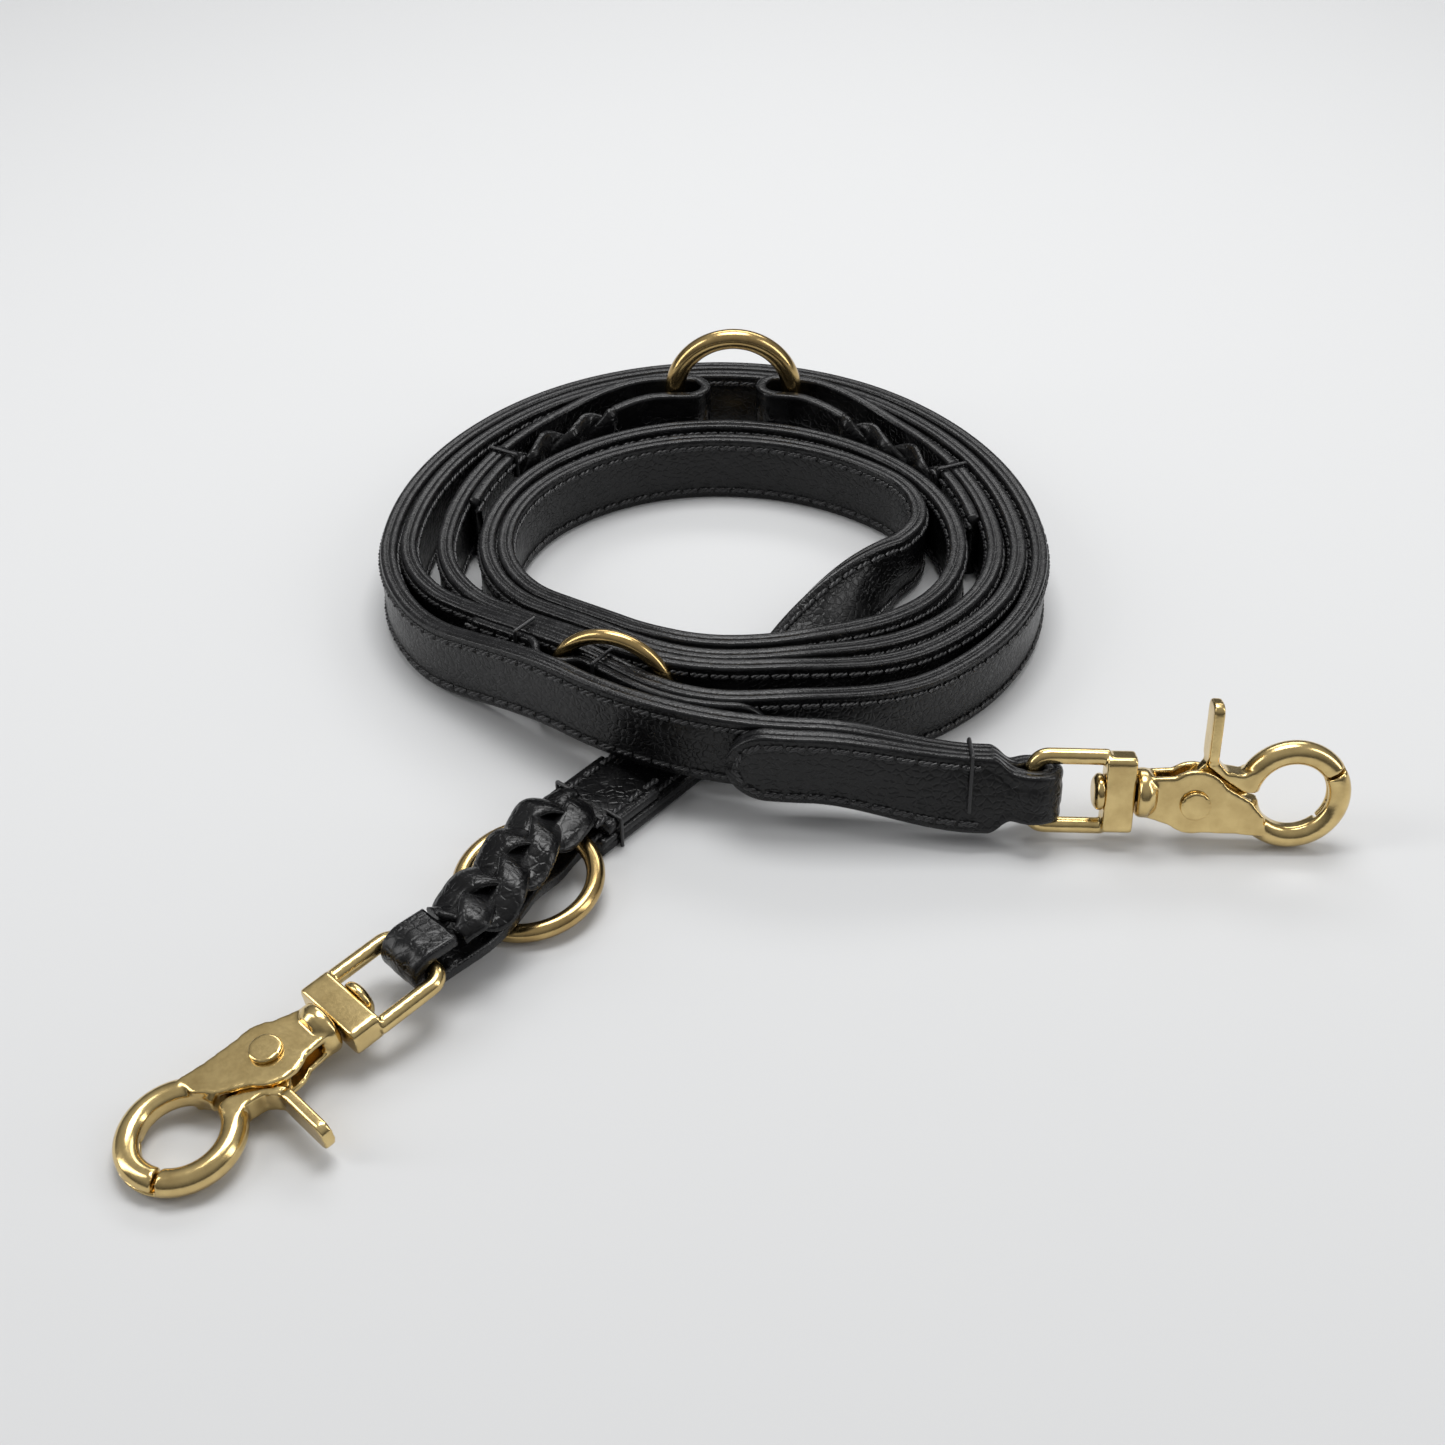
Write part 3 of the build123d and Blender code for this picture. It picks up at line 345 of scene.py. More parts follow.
def sweep_leather(name, frames, thickness, face_material, rows=True, plies=2):
    """Closed strip of leather along frames, with painted edges."""
    mesh = bpy.data.meshes.new(name)
    vertices, faces, kinds = [], [], []
    count = None
    for middle, side, up, width in frames:
        profile = leather_profile(max(width, 8.5), thickness, rows, plies)
        squeeze = width / max(width, 8.5)
        count = len(profile)
        for across, along_up, _ in profile:
            place = middle + side * across + up * (along_up * squeeze)
            vertices.append(place * 0.001 + shift)
    for ring in range(len(frames) - 1):
        for corner in range(count):
            following = (corner + 1) % count
            a, b = ring * count + corner, ring * count + following
            faces.append((a, b, b + count, a + count))
            kinds.append(1 if profile[corner][2] and profile[following][2] else 0)
    faces.append(tuple(range(count)))
    last = (len(frames) - 1) * count
    faces.append(tuple(last + corner for corner in reversed(range(count))))
    kinds += [1, 1]
    mesh.from_pydata(vertices, [], faces)
    mesh.materials.append(face_material)
    mesh.materials.append(painted_edge)
    for polygon, kind in zip(mesh.polygons, kinds):
        polygon.material_index = kind
        polygon.use_smooth = True
    strip = bpy.data.objects.new(name, mesh)
    bpy.context.collection.objects.link(strip)
    facing = bmesh.new()
    facing.from_mesh(mesh)
    bmesh.ops.recalc_face_normals(facing, faces=facing.faces)
    facing.to_mesh(mesh)
    facing.free()
    return strip


# ---------------------------------------------------------------- long strap
# Two plies glued and stitched. It starts as the tab at the right, folds round the
# right snap's eye, comes back behind the tab and makes the three outer turns.
right_bar = Vector((73.5, -41.3, 13.3))
right_axis = -2.0
right_lean = 16.0
lift_first, lift_long, lift_short = 8.2, 6.0, 4.9
fold_radius = 2.0 + 0.5 + strap_thickness / 2
fold_entry = 10.0
half_pair = strap_thickness / 2 + 0.1
fold_x = sqrt((fold_radius + fold_entry) ** 2 - (fold_entry + half_pair) ** 2)
fold_turn = degrees(atan2(fold_x, fold_entry + half_pair))
fold_leg = 4.5
tab_length = 19.0
neck_width = 12.6
right_ahead = way(right_axis)
right_back_way = Vector((-right_ahead.y, right_ahead.x, 0))


def leaning(share):
    """Upward and backward directions of the right end, share of the way along it."""
    tip = radians(right_lean * smooth(share))
    return (up_way * cos(tip) + right_back_way * sin(tip),
            right_back_way * cos(tip) - up_way * sin(tip))


end_up, end_back = leaning(1)


def right_leg(forward, tab):
    """Straight right end, as the strap (away from the snap) or as the tab (towards it)."""
    start = Vector((*first_front, lift_first + strap_width / 2))
    stop = right_bar - right_ahead * (fold_x + fold_leg) + end_back * half_pair
    top = end_up * (strap_width / 2)
    frames = []
    for step in range(33):
        share = step / 32
        up, back = leaning(share)
        ridge = start + up_way * (strap_width / 2)
        ridge = ridge + (stop + top - ridge) * share
        drop = (start.z - (stop + top).z + strap_width / 2) * (share - smooth(share))
        middle = ridge + up_way * drop - up * (strap_width / 2)
        if tab:
            middle = middle - back * (2 * half_pair)
        frames.append((middle, back * (-1 if tab else 1), up, strap_width))
    return frames if forward else frames[::-1]


def right_fold():
    """The strap round the eye's bar, from the tab's side to the strap's side."""
    moves = [(0, fold_leg), (-fold_entry, fold_turn), (fold_radius, 180 + 2 * fold_turn)]
    moves += [(-fold_entry, fold_turn), (0, fold_leg)]
    frames = []
    for point, heading in walk((-fold_x - fold_leg, -half_pair), 0, moves, 0.7):
        middle = right_bar + right_ahead * point.x + end_back * point.y
        side = right_of(heading)
        width = strap_width + (neck_width - strap_width) * smooth((point.x + fold_x + 2.5) / 6.5)
        frames.append((middle, right_ahead * side.x + end_back * side.y, end_up, width))
    return frames


first_moves = front_left(first_front, (left_x[0], side_y), left_corner[0], 180 + right_axis)
tab_steps = walk(first_front, 180 + right_axis,
                 [(first_moves[0][0], degrees(tab_length / -first_moves[0][0]))], 0.6)
tab_frames = []
for point, heading in tab_steps:
    run_out = (point - Vector((*first_front, 0))).length
    left_over = max(0.02, tab_length - run_out)
    tab_span = rounded_width(left_over)
    middle = point - right_of(heading) * (2 * half_pair) + up_way * (lift_first + strap_width / 2)
    tab_frames.append((middle, right_of(heading) * -1, up_way, tab_span))
tab_frames.reverse()

long_frames = tab_frames[:-1] + right_leg(True, True)[:-1] + right_fold()[:-1] + right_leg(False, False)
long_start = len(long_frames)
long_frames += standing(walk(first_front, 180 + right_axis, first_moves), lift_first)[1:]
left_strand_end = (back_ring_middle.x - back_ring_radius, back_ring_middle.y + loop_offset)
left_bend, last_left_bend = quarter((left_x[2], side_y), left_strand_end, 90)
left_tack_turn = 28.3
for index in (0, 1):
    long_frames += standing(turn_back(index))[1:]
    long_frames += standing(turn_front(index + 1), lift_long, index + 1)[1:]
long_frames += standing(walk((left_x[2], side_y), 90, [(left_bend[0], left_tack_turn)]))[1:]
long_strap = sweep_leather("long_strap", long_frames, strap_thickness, grain_leather)
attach(long_strap, "leather")
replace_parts(long_strap, "long_strap_outer_ply", "long_strap_lining_ply")

# ---------------------------------------------------------------- short strap
# The same stitched strap from the back ring, two inner turns, then it leaves the
# coil, turns flat and runs under the other turns to the left end.
left_heading = -130.0
right_loop_heading = -8.0
tight_bend = (-25.0, 20.0)
right_tack_turn = 21.7
loop_out = right_of(right_loop_heading) * -1
right_strand_start = Vector((back_ring_middle.x + back_ring_radius, back_ring_middle.y, 0))
right_strand_start = right_strand_start + loop_out * loop_offset
bend_point, bend_heading = walk(right_strand_start, right_loop_heading, [tight_bend])[-1]
to_middle = Vector((sin(radians(bend_heading)) - sin(radians(-45)),
                    cos(radians(-45)) - cos(radians(bend_heading))))
to_side = Vector((sin(radians(-45)) + 1, -cos(radians(-45))))
bend_gap = Vector((right_x[2], side_y)) - bend_point.xy
bend_det = to_middle.x * to_side.y - to_middle.y * to_side.x
right_back = [(-(bend_gap.x * to_side.y - bend_gap.y * to_side.x) / bend_det, bend_heading + 45),
              (-(to_middle.x * bend_gap.y - to_middle.y * bend_gap.x) / bend_det, 45.0)]
right_tack, right_tack_heading = walk(
    right_strand_start, right_loop_heading,
    [tight_bend, right_back[0], (right_back[1][0], right_tack_turn)])[-1]

short_frames = standing(walk(right_tack, right_tack_heading,
                             [(right_back[1][0], 45 - right_tack_turn)]))
short_frames += standing(turn_front(3), lift_short, 3)[1:]
short_frames += standing(turn_back(3))[1:]
short_frames += standing(turn_front(4), lift_short, 4)[1:]
left_turn_start = (55.5, 72.0)
fifth = quarter((left_x[4], side_y), back_at[4], 90) + quarter(back_at[4], left_turn_start, 0)
short_frames += standing(walk((left_x[4], side_y), 90, fifth + [(-20.0, -90 - left_heading)]))[1:]
left_base = walk(left_turn_start, -90, [(-20.0, -90 - left_heading)])[-1][0]
along = way(left_heading)
across = right_of(left_heading) * -1
twist = (4.0, 54.0)
flat_end = 135.0


def left_point(s, z=0.0, sideways=0.0):
    """Point of the flat end: s along it, z above the floor, sideways to its left."""
    return left_base + along * s + across * sideways + up_way * z


for step in range(int(flat_end / 1.35) + 1):
    s = flat_end * step / int(flat_end / 1.35)
    tip = radians(90 * min(1, max(0, (s - twist[0]) / (twist[1] - twist[0]))))
    height = strap_width / 2 * cos(tip) + strap_thickness / 2 * sin(tip)
    if s > 0:
        short_frames.append((left_point(s, height), (across * cos(tip) + up_way * sin(tip)) * -1,
                             up_way * cos(tip) - across * sin(tip), strap_width))
short_strap = sweep_leather("short_strap", short_frames, strap_thickness, grain_leather)
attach(short_strap, "leather")
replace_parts(short_strap, "short_strap_outer_ply", "short_strap_lining_ply")

# ---------------------------------------------------------------- ring keeper
# A thinner strip sewn to the outside of the second turn. Between its two tacks it
# stands off the strap as a tunnel, and the front ring hangs in the tunnel.
keeper_thickness = 2.2
keeper_from, keeper_end = 8.0, 52.7
tunnel = (13.3, 33.4)
keeper_middle = -strap_thickness / 2 - 0.2 - keeper_thickness / 2
bulge, bulge_turn = 4.2, 50.0
bulge_bend = bulge / 2 / (1 - cos(radians(bulge_turn)))
bulge_run = 2 * bulge_bend * sin(radians(bulge_turn))
second_moves = quarter((right_x[0], side_y), front_at[1], -90)
second_moves += front_left(front_at[1], (left_x[1], side_y), left_corner[1])
keeper_turn = degrees(keeper_from / -second_moves[1][0])
keeper_start, keeper_heading = walk((right_x[0], side_y), -90,
                                    [second_moves[0], (second_moves[1][0], 45 - keeper_turn)])[-1]
keeper_start = keeper_start + right_of(keeper_heading) * keeper_middle
keeper_moves = [(second_moves[1][0] + keeper_middle, keeper_turn),
                (second_moves[2][0] + keeper_middle, second_moves[2][1]), (0, tunnel[0]),
                (bulge_bend, bulge_turn), (-bulge_bend, bulge_turn),
                (0, tunnel[1] - tunnel[0] - 2 * bulge_run),
                (-bulge_bend, bulge_turn), (bulge_bend, bulge_turn), (0, keeper_end - tunnel[1])]
keeper_frames = []
for middle, side, up, _ in standing(walk(keeper_start, keeper_heading, keeper_moves, 0.8), lift_long, 1):
    done = max(0.05, (middle.xy - keeper_start.xy).length)
    width = rounded_width(done)
    keeper_frames.append((middle, side, up, width))
ring_keeper = sweep_leather("ring_keeper_strip", keeper_frames, keeper_thickness, grain_leather, True, 1)
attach(ring_keeper, "leather")
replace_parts(ring_keeper, "ring_keeper")

# ---------------------------------------------------------------- stitches
# Waxed twisted thread, two rows along every strap, sewn right through. Each row shows
# on both faces, but the flat end's underside is left bare, because it lies on the floor.
# A short twisted length is laid over each gap between holes.
thread_material, thread_tree, thread_shader = new_material("waxed_thread", (0.016, 0.016, 0.017), 0.28)
thread_wave = thread_tree.nodes.new("ShaderNodeTexNoise")
thread_wave.inputs["Scale"].default_value = 4000
thread_bump = thread_tree.nodes.new("ShaderNodeBump")
thread_bump.inputs["Strength"].default_value = 0.3
thread_bump.inputs["Distance"].default_value = 0.0001
thread_tree.links.new(thread_wave.outputs["Fac"], thread_bump.inputs["Height"])
thread_tree.links.new(thread_bump.outputs["Normal"], thread_shader.inputs["Normal"])
stitch_pitch = 0.0050
stitch_inset = 2.7


def stitch_tree():
    """Lays one twisted stitch on every pitch of a line of the seam."""
    tree = bpy.data.node_groups.new("stitch_rows", "GeometryNodeTree")
    tree.interface.new_socket("Geometry", in_out="INPUT", socket_type="NodeSocketGeometry")
    for name, size in (("Pitch", stitch_pitch), ("Length", 0.0042), ("Thread", 0.00052)):
        socket = tree.interface.new_socket(name, in_out="INPUT", socket_type="NodeSocketFloat")
        socket.default_value = size
    tree.interface.new_socket("Geometry", in_out="OUTPUT", socket_type="NodeSocketGeometry")
    nodes, links = tree.nodes, tree.links
    inside, outside = nodes.new("NodeGroupInput"), nodes.new("NodeGroupOutput")
    line = nodes.new("GeometryNodeMeshToCurve")
    holes = nodes.new("GeometryNodeResampleCurve")
    holes.mode = "LENGTH"
    links.new(inside.outputs["Geometry"], line.inputs[0])
    links.new(line.outputs[0], holes.inputs["Curve"])
    links.new(inside.outputs["Pitch"], holes.inputs["Length"])
    tangent = nodes.new("GeometryNodeInputTangent")
    turn = nodes.new("FunctionNodeAlignRotationToVector")
    turn.axis = "Z"
    links.new(tangent.outputs[0], turn.inputs["Vector"])
    lay = nodes.new("GeometryNodeInstanceOnPoints")
    links.new(holes.outputs[0], lay.inputs["Points"])
    links.new(turn.outputs[0], lay.inputs["Rotation"])
    joined = nodes.new("GeometryNodeJoinGeometry")
    section = nodes.new("GeometryNodeCurvePrimitiveCircle")
    section.inputs["Resolution"].default_value = 5
    links.new(inside.outputs["Thread"], section.inputs["Radius"])
    for half_turn in (0, pi):
        strand = nodes.new("GeometryNodeCurveSpiral")
        strand.inputs["Resolution"].default_value = 6
        strand.inputs["Rotations"].default_value = 1.2
        strand.inputs["Start Radius"].default_value = 0.00034
        strand.inputs["End Radius"].default_value = 0.00034
        links.new(inside.outputs["Length"], strand.inputs["Height"])
        place = nodes.new("GeometryNodeTransform")
        place.inputs["Rotation"].default_value = (0, 0, half_turn)
        place.inputs["Translation"].default_value = (0, 0, -0.00205)
        body = nodes.new("GeometryNodeCurveToMesh")
        body.inputs["Fill Caps"].default_value = True
        links.new(strand.outputs[0], place.inputs["Geometry"])
        links.new(place.outputs[0], body.inputs["Curve"])
        links.new(section.outputs[0], body.inputs["Profile Curve"])
        links.new(body.outputs[0], joined.inputs[0])
    links.new(joined.outputs[0], lay.inputs["Instance"])
    real = nodes.new("GeometryNodeRealizeInstances")
    paint = nodes.new("GeometryNodeSetMaterial")
    paint.inputs["Material"].default_value = thread_material
    links.new(lay.outputs[0], real.inputs[0])
    links.new(real.outputs[0], paint.inputs["Geometry"])
    links.new(paint.outputs[0], outside.inputs[0])
    return tree


stitch_rows = stitch_tree()


def sew(name, lines, body="leather"):
    """Rows of stitches along lines of points, as one finished mesh."""
    mesh = bpy.data.meshes.new(name)
    vertices, edges = [], []
    for line in lines:
        first = len(vertices)
        vertices += [point * 0.001 + shift for point in line]
        edges += [(first + n, first + n + 1) for n in range(len(line) - 1)]
    mesh.from_pydata(vertices, edges, [])
    rows = bpy.data.objects.new(name, mesh)
    bpy.context.collection.objects.link(rows)
    modifier = rows.modifiers.new("stitches", "NODES")
    modifier.node_group = stitch_rows
    for socket in stitch_rows.interface.items_tree:
        if socket.item_type == "SOCKET" and socket.in_out == "INPUT" and socket.name == "Pitch":
            modifier[socket.identifier] = stitch_pitch
    finished = bpy.data.meshes.new_from_object(rows.evaluated_get(bpy.context.evaluated_depsgraph_get()))
    rows.modifiers.clear()
    rows.data = finished
    for polygon in finished.polygons:
        polygon.use_smooth = True
    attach(rows, body)
    return rows


def seam(frames, face, row, thickness, inset=stitch_inset):
    """Line of a stitch row on one face (+1 right, -1 left), near the top or bottom edge."""
    return [middle + side * (face * (thickness / 2 - 0.02)) + up * (row * (width / 2 - inset))
            for middle, side, up, width in frames]


long_lines = []
for row in (1, -1):
    long_lines.append(seam(long_frames[long_start:], -1, row, strap_thickness))
    long_lines.append(seam(long_frames[long_start - 32:], 1, row, strap_thickness))
row_reach = strap_width / 2 - stitch_inset
tab_line = []
for number, (middle, side, up, _) in enumerate(long_frames[:len(tab_frames) + 30]):
    behind = max(0, strap_width / 2 - number * tab_length / (len(tab_frames) - 1))
    if behind < row_reach:
        reach = up * sqrt(row_reach ** 2 - behind ** 2)
        spot = middle + side * (strap_thickness / 2 - 0.02)
        tab_line = [spot + reach] + tab_line + [spot - reach]
sew("long_strap_stitches", long_lines)
sew("tab_stitches", [tab_line])
lying_frames = 72
sew("short_strap_stitches",
    [seam(part, face, row, strap_thickness)
      for face, part in ((1, short_frames[:-lying_frames]), (-1, short_frames)) for row in (1, -1)])
sew("keeper_stitches", [seam(keeper_frames[14:34], -1, row, keeper_thickness) for row in (1, -1)]
    + [seam(keeper_frames[-22:], -1, row, keeper_thickness) for row in (1, -1)])

# ---------------------------------------------------------------- braided ends
# Each end is a strip of softer leather: it goes through the metal as a loop, is cut
# into three strands that are plaited, and ends as a tail sewn beside the strap.
terminal_thickness = 3.2
fold_inner = 2 * loop_offset
braid_seat = strap_thickness / 2 + 0.3 + 2.6


def plait(name, path, count, turns, replaced):
    """Three crowned strands plaited along a path(share) that gives (middle, outward, up)."""
    for strand in range(3):
        mesh = bpy.data.meshes.new(name)
        vertices, faces = [], []
        around_count = 10
        for step in range(count + 1):
            share = step / count
            middle, out, up = path(share)
            turn = radians(360 * turns * share + 120 * strand)
            lean = abs(cos(turn))
            reach = (4.1 + 0.9 * lean) * (0.55 + 0.45 * smooth(min(share, 1 - share) * 9))
            middle = middle + up * (5.2 * sin(turn)) + out * (1.9 * sin(2 * turn))
            tilt = out * (0.28 * sin(turn))
            for corner in range(around_count):
                angle = 2 * pi * corner / around_count
                wide = reach * (abs(cos(angle)) ** 0.7) * (1 if cos(angle) > 0 else -1)
                deep = 1.45 * (abs(sin(angle)) ** 0.8) * (1 if sin(angle) > 0 else -1)
                place = middle + up * wide + out * deep - tilt * wide
                vertices.append(place * 0.001 + shift)
        for ring in range(count):
            for corner in range(around_count):
                a = ring * around_count + corner
                b = ring * around_count + (corner + 1) % around_count
                faces.append((a, b, b + around_count, a + around_count))
        faces.append(tuple(range(around_count)))
        faces.append(tuple(count * around_count + n for n in reversed(range(around_count))))
        mesh.from_pydata(vertices, [], faces)
        mesh.materials.append(smooth_leather)
        for polygon in mesh.polygons:
            polygon.use_smooth = True
        piece = bpy.data.objects.new(f"{name}_{strand + 1}", mesh)
        bpy.context.collection.objects.link(piece)
        facing = bmesh.new()
        facing.from_mesh(mesh)
        bmesh.ops.recalc_face_normals(facing, faces=facing.faces)
        facing.to_mesh(mesh)
        facing.free()
        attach(piece, "leather")
        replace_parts(piece, f"{replaced}_{strand + 1}")


def back_end(name, start, heading, moves, turn):
    """Loop and braid of one end on the back ring, from its tack to the ring's wire."""
    steps = walk(start, heading, moves + [(0, 4.0)], 0.7)
    total = len(steps) - 1
    loop_steps = round(30 / 0.7)
    neck_z = back_ring_middle.z - 4

    def profile(share):
        narrow = smooth((share - 0.35) / 0.5)
        return (strap_width / 2 + (neck_z - strap_width / 2) * narrow,
                strap_width + (neck_width - strap_width) * narrow)

    frames = []
    for number, (point, angle) in enumerate(steps):
        height, width = profile(number / total)
        frames.append((point + up_way * height, right_of(angle), up_way, width))
    stop, stop_heading = steps[-1]
    for point, angle in walk(stop, stop_heading, [(-turn * loop_offset, 180)], 0.7)[1:]:
        frames.append((point + up_way * neck_z, right_of(angle), up_way, neck_width))
    for number in range(total - 1, total - loop_steps, -1):
        point, angle = steps[number]
        height, width = profile(number / total)
        place = point + right_of(angle) * (turn * fold_inner) + up_way * height
        frames.append((place, right_of(angle) * -1, up_way, width))
    loop = sweep_leather(f"{name}_loop_leather", frames, terminal_thickness, smooth_leather, False, 1)
    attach(loop, "leather")
    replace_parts(loop, f"{name}_loop")
    braid_steps = total - loop_steps + 2

    def middle_line(share):
        point, angle = steps[min(total, round(share * braid_steps))]
        away = braid_seat + (fold_inner - braid_seat) * smooth(share)
        height, _ = profile(share * braid_steps / total)
        side = right_of(angle) * turn
        return point + side * away + up_way * (height + 1.0 * smooth(share)), side, up_way

    plait(f"{name}_braid", middle_line, braid_steps, 0.9, f"{name}_strand")


left_tack, left_tack_heading = walk((left_x[2], side_y), 90, [(left_bend[0], left_tack_turn)])[-1]
back_end("back_left", left_tack, left_tack_heading,
         [(left_bend[0], 45 - left_tack_turn), last_left_bend], 1)
back_end("back_right", right_tack, right_tack_heading + 180,
         [(-right_back[1][0], right_tack_turn), (-right_back[0][0], right_back[0][1]),
          (-tight_bend[0], tight_bend[1])], -1)

tail_middle = strap_thickness / 2 + 0.3 + terminal_thickness / 2
tail_length = 29
before_tail = left_tack_turn - degrees(tail_length / -left_bend[0])
tail_turns = {"back_left": ((left_x[2], side_y), 90, left_bend[0], before_tail),
              "back_right": (right_tack, right_tack_heading, right_back[1][0], 0.0)}
for name, (start, heading, radius, skipped) in tail_turns.items():
    point, angle = walk(start, heading, [(radius, skipped)])[-1] if skipped else (start, heading)
    steps = walk(point, angle, [(radius, degrees(tail_length / -radius))], 1.0)
    frames = [(point + right_of(angle) * tail_middle + up_way * (strap_width / 2), right_of(angle),
               up_way, strap_width - 0.3) for point, angle in steps]
    tail = sweep_leather(f"{name}_tail_leather", frames, terminal_thickness, smooth_leather, True, 1)
    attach(tail, "leather")
    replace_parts(tail, f"{name}_tail")
    sew(f"{name}_tail_stitches", [seam(frames, 1, row, terminal_thickness) for row in (1, -1)])

# ---------------------------------------------------------------- left end
# The flat end's strip lies under the strap's end, folds round the left snap's eye
# and comes back above itself as the widest braid, with a ring caught under it.
left_bar_s, left_bar_n, left_bar_z = 191.5, 8.0, 10.8
left_snap_heading = -135.1
left_fold = 2.0 + 0.5 + terminal_thickness / 2
lower_ramp = (146.5, 163.5)
swerve_end, swerve_by = 178.5, 9.2
snap_way = way(left_snap_heading)
snap_side = right_of(left_snap_heading) * -1
left_bar = left_point(left_bar_s, left_bar_z, left_bar_n)
fold_lead = (left_bar_s - swerve_end) / cos(radians(left_heading - left_snap_heading))


def swerve(s):
    """How far to its left the leather has gone, pulled by the snap."""
    return swerve_by * smooth((s - flat_end) / (swerve_end - flat_end))


def lower_point(s):
    """Middle of the lower leather, under the braid."""
    rise = left_bar_z - left_fold - terminal_thickness / 2
    climb = smooth((s - lower_ramp[0]) / (lower_ramp[1] - lower_ramp[0]))
    return left_point(s, terminal_thickness / 2 + rise * climb, swerve(s))


fold_frames = []
for step in range(56):
    s = flat_end + 0.3 + (swerve_end - 1.3 - flat_end) * step / 55
    ahead = (lower_point(s + 0.2) - lower_point(s - 0.2)).normalized()
    side = ahead.cross(up_way).normalized()
    fold_frames.append((lower_point(s), ahead.cross(side), side, neck_width))
fold_moves = [(0, fold_lead), (left_fold, 180), (0, 6.5)]
for point, angle in walk((-fold_lead, -left_fold), 0, fold_moves, 0.8)[1:]:
    side = right_of(angle)
    fold_frames.append((left_bar + snap_way * point.x + up_way * point.y,
                        snap_way * side.x + up_way * side.y, snap_side * -1, neck_width))
left_fold_leather = sweep_leather("left_fold_leather", fold_frames, terminal_thickness, smooth_leather,
                                  False, 1)
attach(left_fold_leather, "leather")
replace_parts(left_fold_leather, "left_end_fold")

tail_s = (114.5, 130.8)
tail_frames = [(left_point(tail_s[0] + (tail_s[1] + 1.5 - tail_s[0]) * n / 16,
                           strap_thickness + 0.3 + terminal_thickness / 2),
                up_way * -1, across * -1, strap_width - 0.4) for n in range(17)]
left_tail = sweep_leather("left_tail_leather", tail_frames, terminal_thickness, smooth_leather, True, 1)
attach(left_tail, "leather")
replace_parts(left_tail, "left_end_tail")
sew("left_tail_stitches", [seam(tail_frames, -1, row, terminal_thickness) for row in (1, -1)])


def left_braid_path(share):
    """From the tail, up steeply, then level to the fold."""
    s = 130.0 + 54.0 * share
    low_z = strap_thickness + 0.3 + 2.4
    middle = left_point(s, low_z + (left_bar_z + left_fold - low_z) * (1 - (1 - share) ** 4),
                        swerve(s) - 0.09 * max(0, s - swerve_end))
    return middle, up_way, across


plait("left_end_braid", left_braid_path, 90, 1.25, "left_end_strand")

# ---------------------------------------------------------------- brass
# Polished brass, cast for the snaps and drawn wire for the rings, with fine
# scratches and faint browner clouds of tarnish.
def brass(name, colour, dark_colour, roughness):
    """Polished brass with soft cloudy tarnish and fine scratches."""
    material, tree, shader = new_material(name, colour, roughness, 1.0)
    clouds = tree.nodes.new("ShaderNodeTexNoise")
    clouds.inputs["Scale"].default_value = 220
    clouds.inputs["Detail"].default_value = 6
    where = tree.nodes.new("ShaderNodeTexCoord")
    tree.links.new(where.outputs["Object"], clouds.inputs["Vector"])
    tone = tree.nodes.new("ShaderNodeValToRGB")
    tone.color_ramp.elements[0].position = 0.25
    tone.color_ramp.elements[0].color = (*dark_colour, 1)
    tone.color_ramp.elements[1].position = 0.7
    tone.color_ramp.elements[1].color = (*colour, 1)
    tree.links.new(clouds.outputs["Fac"], tone.inputs["Fac"])
    tree.links.new(tone.outputs["Color"], shader.inputs["Base Color"])
    scratches = tree.nodes.new("ShaderNodeTexNoise")
    scratches.inputs["Scale"].default_value = 1500
    scratches.inputs["Detail"].default_value = 4
    tree.links.new(where.outputs["Object"], scratches.inputs["Vector"])
    gloss = tree.nodes.new("ShaderNodeMapRange")
    gloss.inputs["To Min"].default_value = roughness
    gloss.inputs["To Max"].default_value = roughness + 0.16
    tree.links.new(scratches.outputs["Fac"], gloss.inputs["Value"])
    tree.links.new(gloss.outputs["Result"], shader.inputs["Roughness"])
    relief = tree.nodes.new("ShaderNodeBump")
    relief.inputs["Strength"].default_value = 0.05
    relief.inputs["Distance"].default_value = 0.0002
    tree.links.new(clouds.outputs["Fac"], relief.inputs["Height"])
    tree.links.new(relief.outputs["Normal"], shader.inputs["Normal"])
    return material


ring_brass = brass("ring_brass", (0.58, 0.42, 0.18), (0.40, 0.27, 0.11), 0.13)
snap_brass = brass("snap_brass", (0.75, 0.57, 0.26), (0.55, 0.40, 0.17), 0.12)
spring_steel = brass("spring_steel", (0.5, 0.5, 0.5), (0.4, 0.4, 0.4), 0.25)


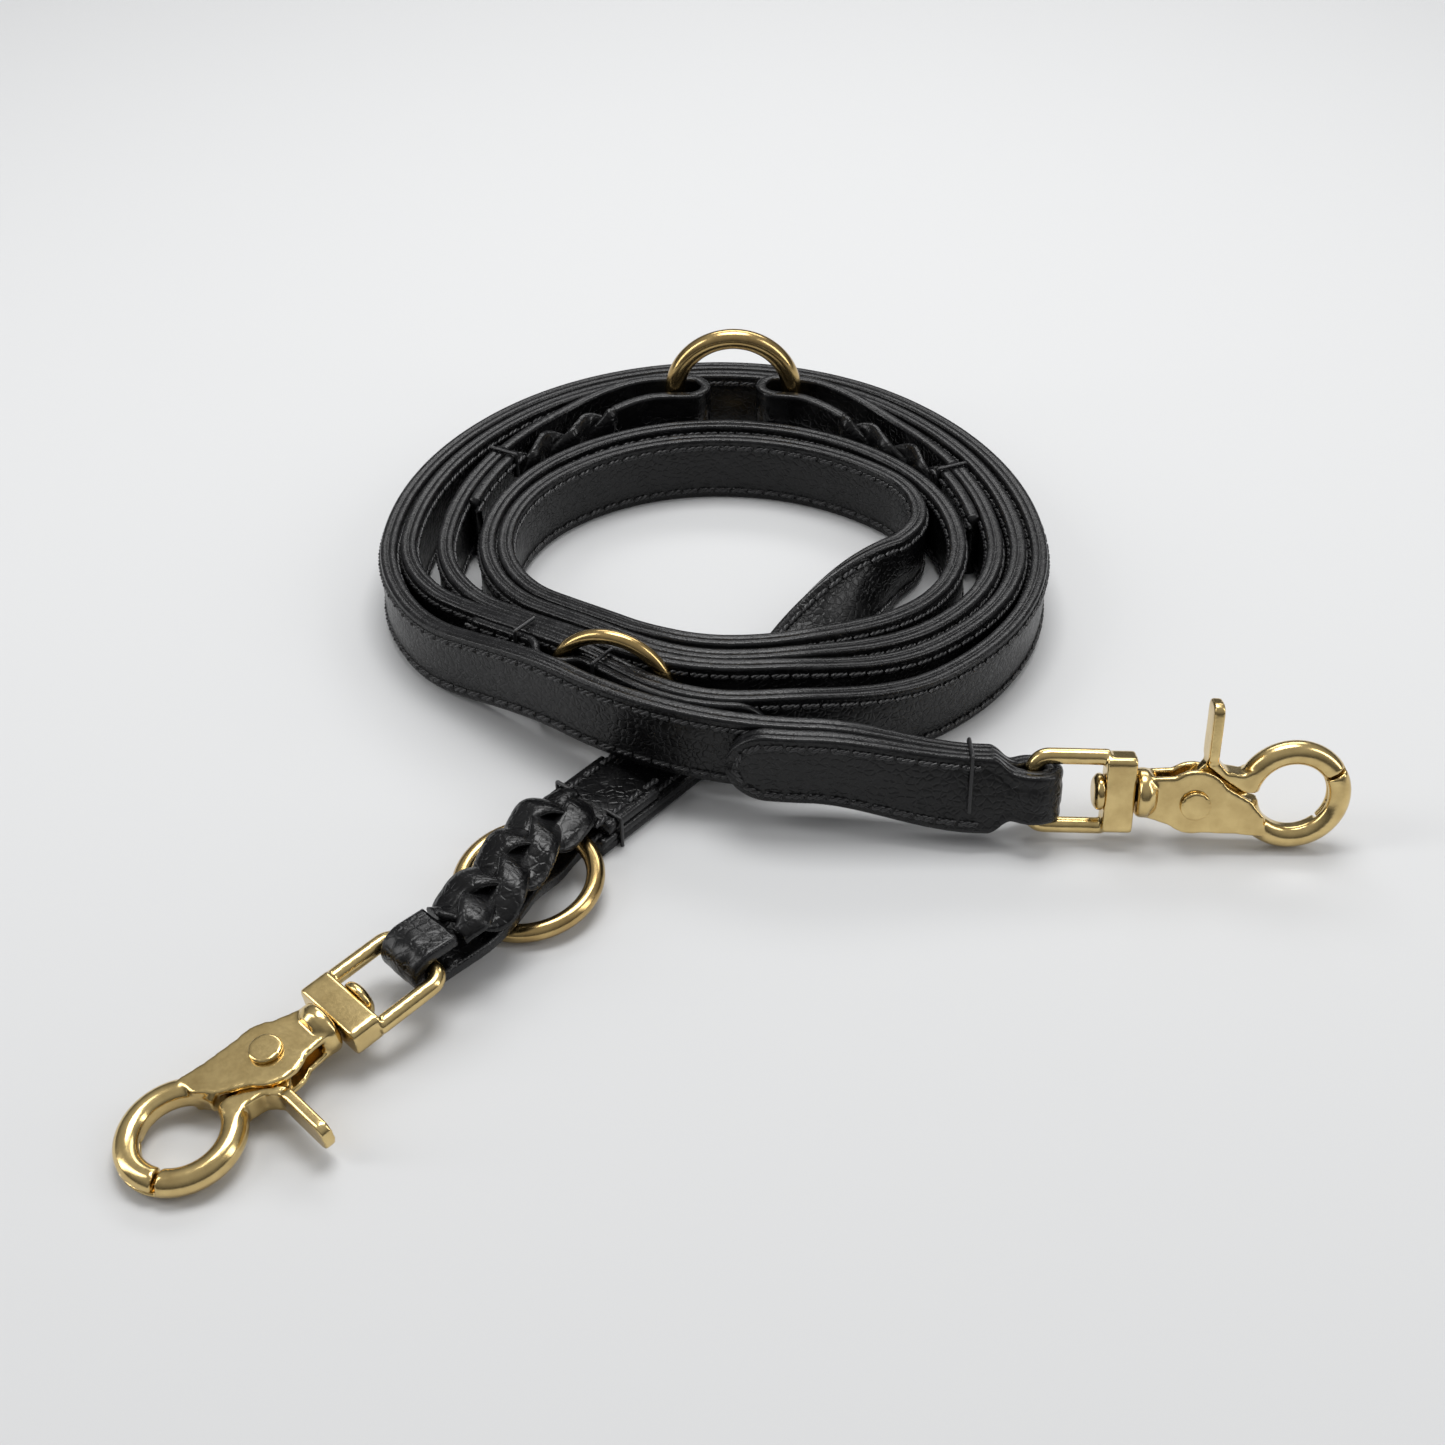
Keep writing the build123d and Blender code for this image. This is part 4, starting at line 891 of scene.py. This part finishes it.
def wire_ring(name, joint_name, radius, wire):
    """Round welded ring, centred and turned as its own joint is."""
    joint = next(j for j in frame["joints"] if j["name"] == joint_name)
    bpy.ops.mesh.primitive_torus_add(major_radius=radius * 0.001, minor_radius=wire * 0.0005,
                                     major_segments=128, minor_segments=32)
    hoop = bpy.context.object
    hoop.name = name
    turn = Vector(joint["axis"]).to_track_quat("Z", "Y").to_matrix().to_4x4()
    hoop.data.transform(Matrix.Translation(Vector(joint["pos_m"])) @ turn)
    hoop.matrix_world = Matrix.Identity(4)
    hoop.data.materials.clear()
    hoop.data.materials.append(ring_brass)
    for polygon in hoop.data.polygons:
        polygon.use_smooth = True
    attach(hoop, joint["child"])
    return hoop


for ring_name, radius, wire in (("back_ring", back_ring_radius, 6.0), ("front_ring", 14.9, 3.8),
                                ("braid_ring", 15.8, 4.4)):
    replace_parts(wire_ring(f"{ring_name}_wire", f"{ring_name}_turn", radius, wire), ring_name)

# ---------------------------------------------------------------- swivel snaps
# Cast brass trigger snaps: the casting's corners are soft from tumbling, so each
# piece is its solid with all its edges rounded.
def cast_copy(node, body, material, voxel, rounds):
    """A CAD piece with tumbled, rounded edges."""
    mesh = frame["nodes"][node].data.copy()
    merged = bmesh.new()
    merged.from_mesh(mesh)
    bmesh.ops.remove_doubles(merged, verts=merged.verts, dist=1e-7)
    merged.to_mesh(mesh)
    merged.free()
    piece = bpy.data.objects.new(f"{node}_cast", mesh)
    bpy.context.collection.objects.link(piece)
    remesh = piece.modifiers.new("remesh", "REMESH")
    remesh.mode = "VOXEL"
    remesh.voxel_size = voxel
    soften = piece.modifiers.new("soften", "SMOOTH")
    soften.factor = 0.5
    soften.iterations = rounds
    finished = bpy.data.meshes.new_from_object(piece.evaluated_get(bpy.context.evaluated_depsgraph_get()))
    piece.modifiers.clear()
    piece.data = finished
    finished.materials.clear()
    finished.materials.append(material)
    for polygon in finished.polygons:
        polygon.use_smooth = True
    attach(piece, body)
    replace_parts(piece, node)
    return piece


for side in ("right", "left"):
    for part, body, rounds in (("eye", "eye_body", 24), ("body", "snap_body_group", 20),
                               ("lever", "lever_body", 20), ("rivet", "snap_body_group", 8)):
        cast_copy(f"{side}_snap_{part}", f"{side}_{body}", snap_brass, 0.0003, rounds)
    spring = frame["nodes"][f"{side}_snap_spring"]
    spring.data.materials.clear()
    spring.data.materials.append(spring_steel)

# ---------------------------------------------------------------- bar tacks
# Thick waxed thread wrapped over the leather's edge to lock each end.
for node in [name for name in frame["nodes"] if name.startswith("tack_")]:
    tack = frame["nodes"][node]
    tack.data.materials.clear()
    tack.data.materials.append(thread_material)
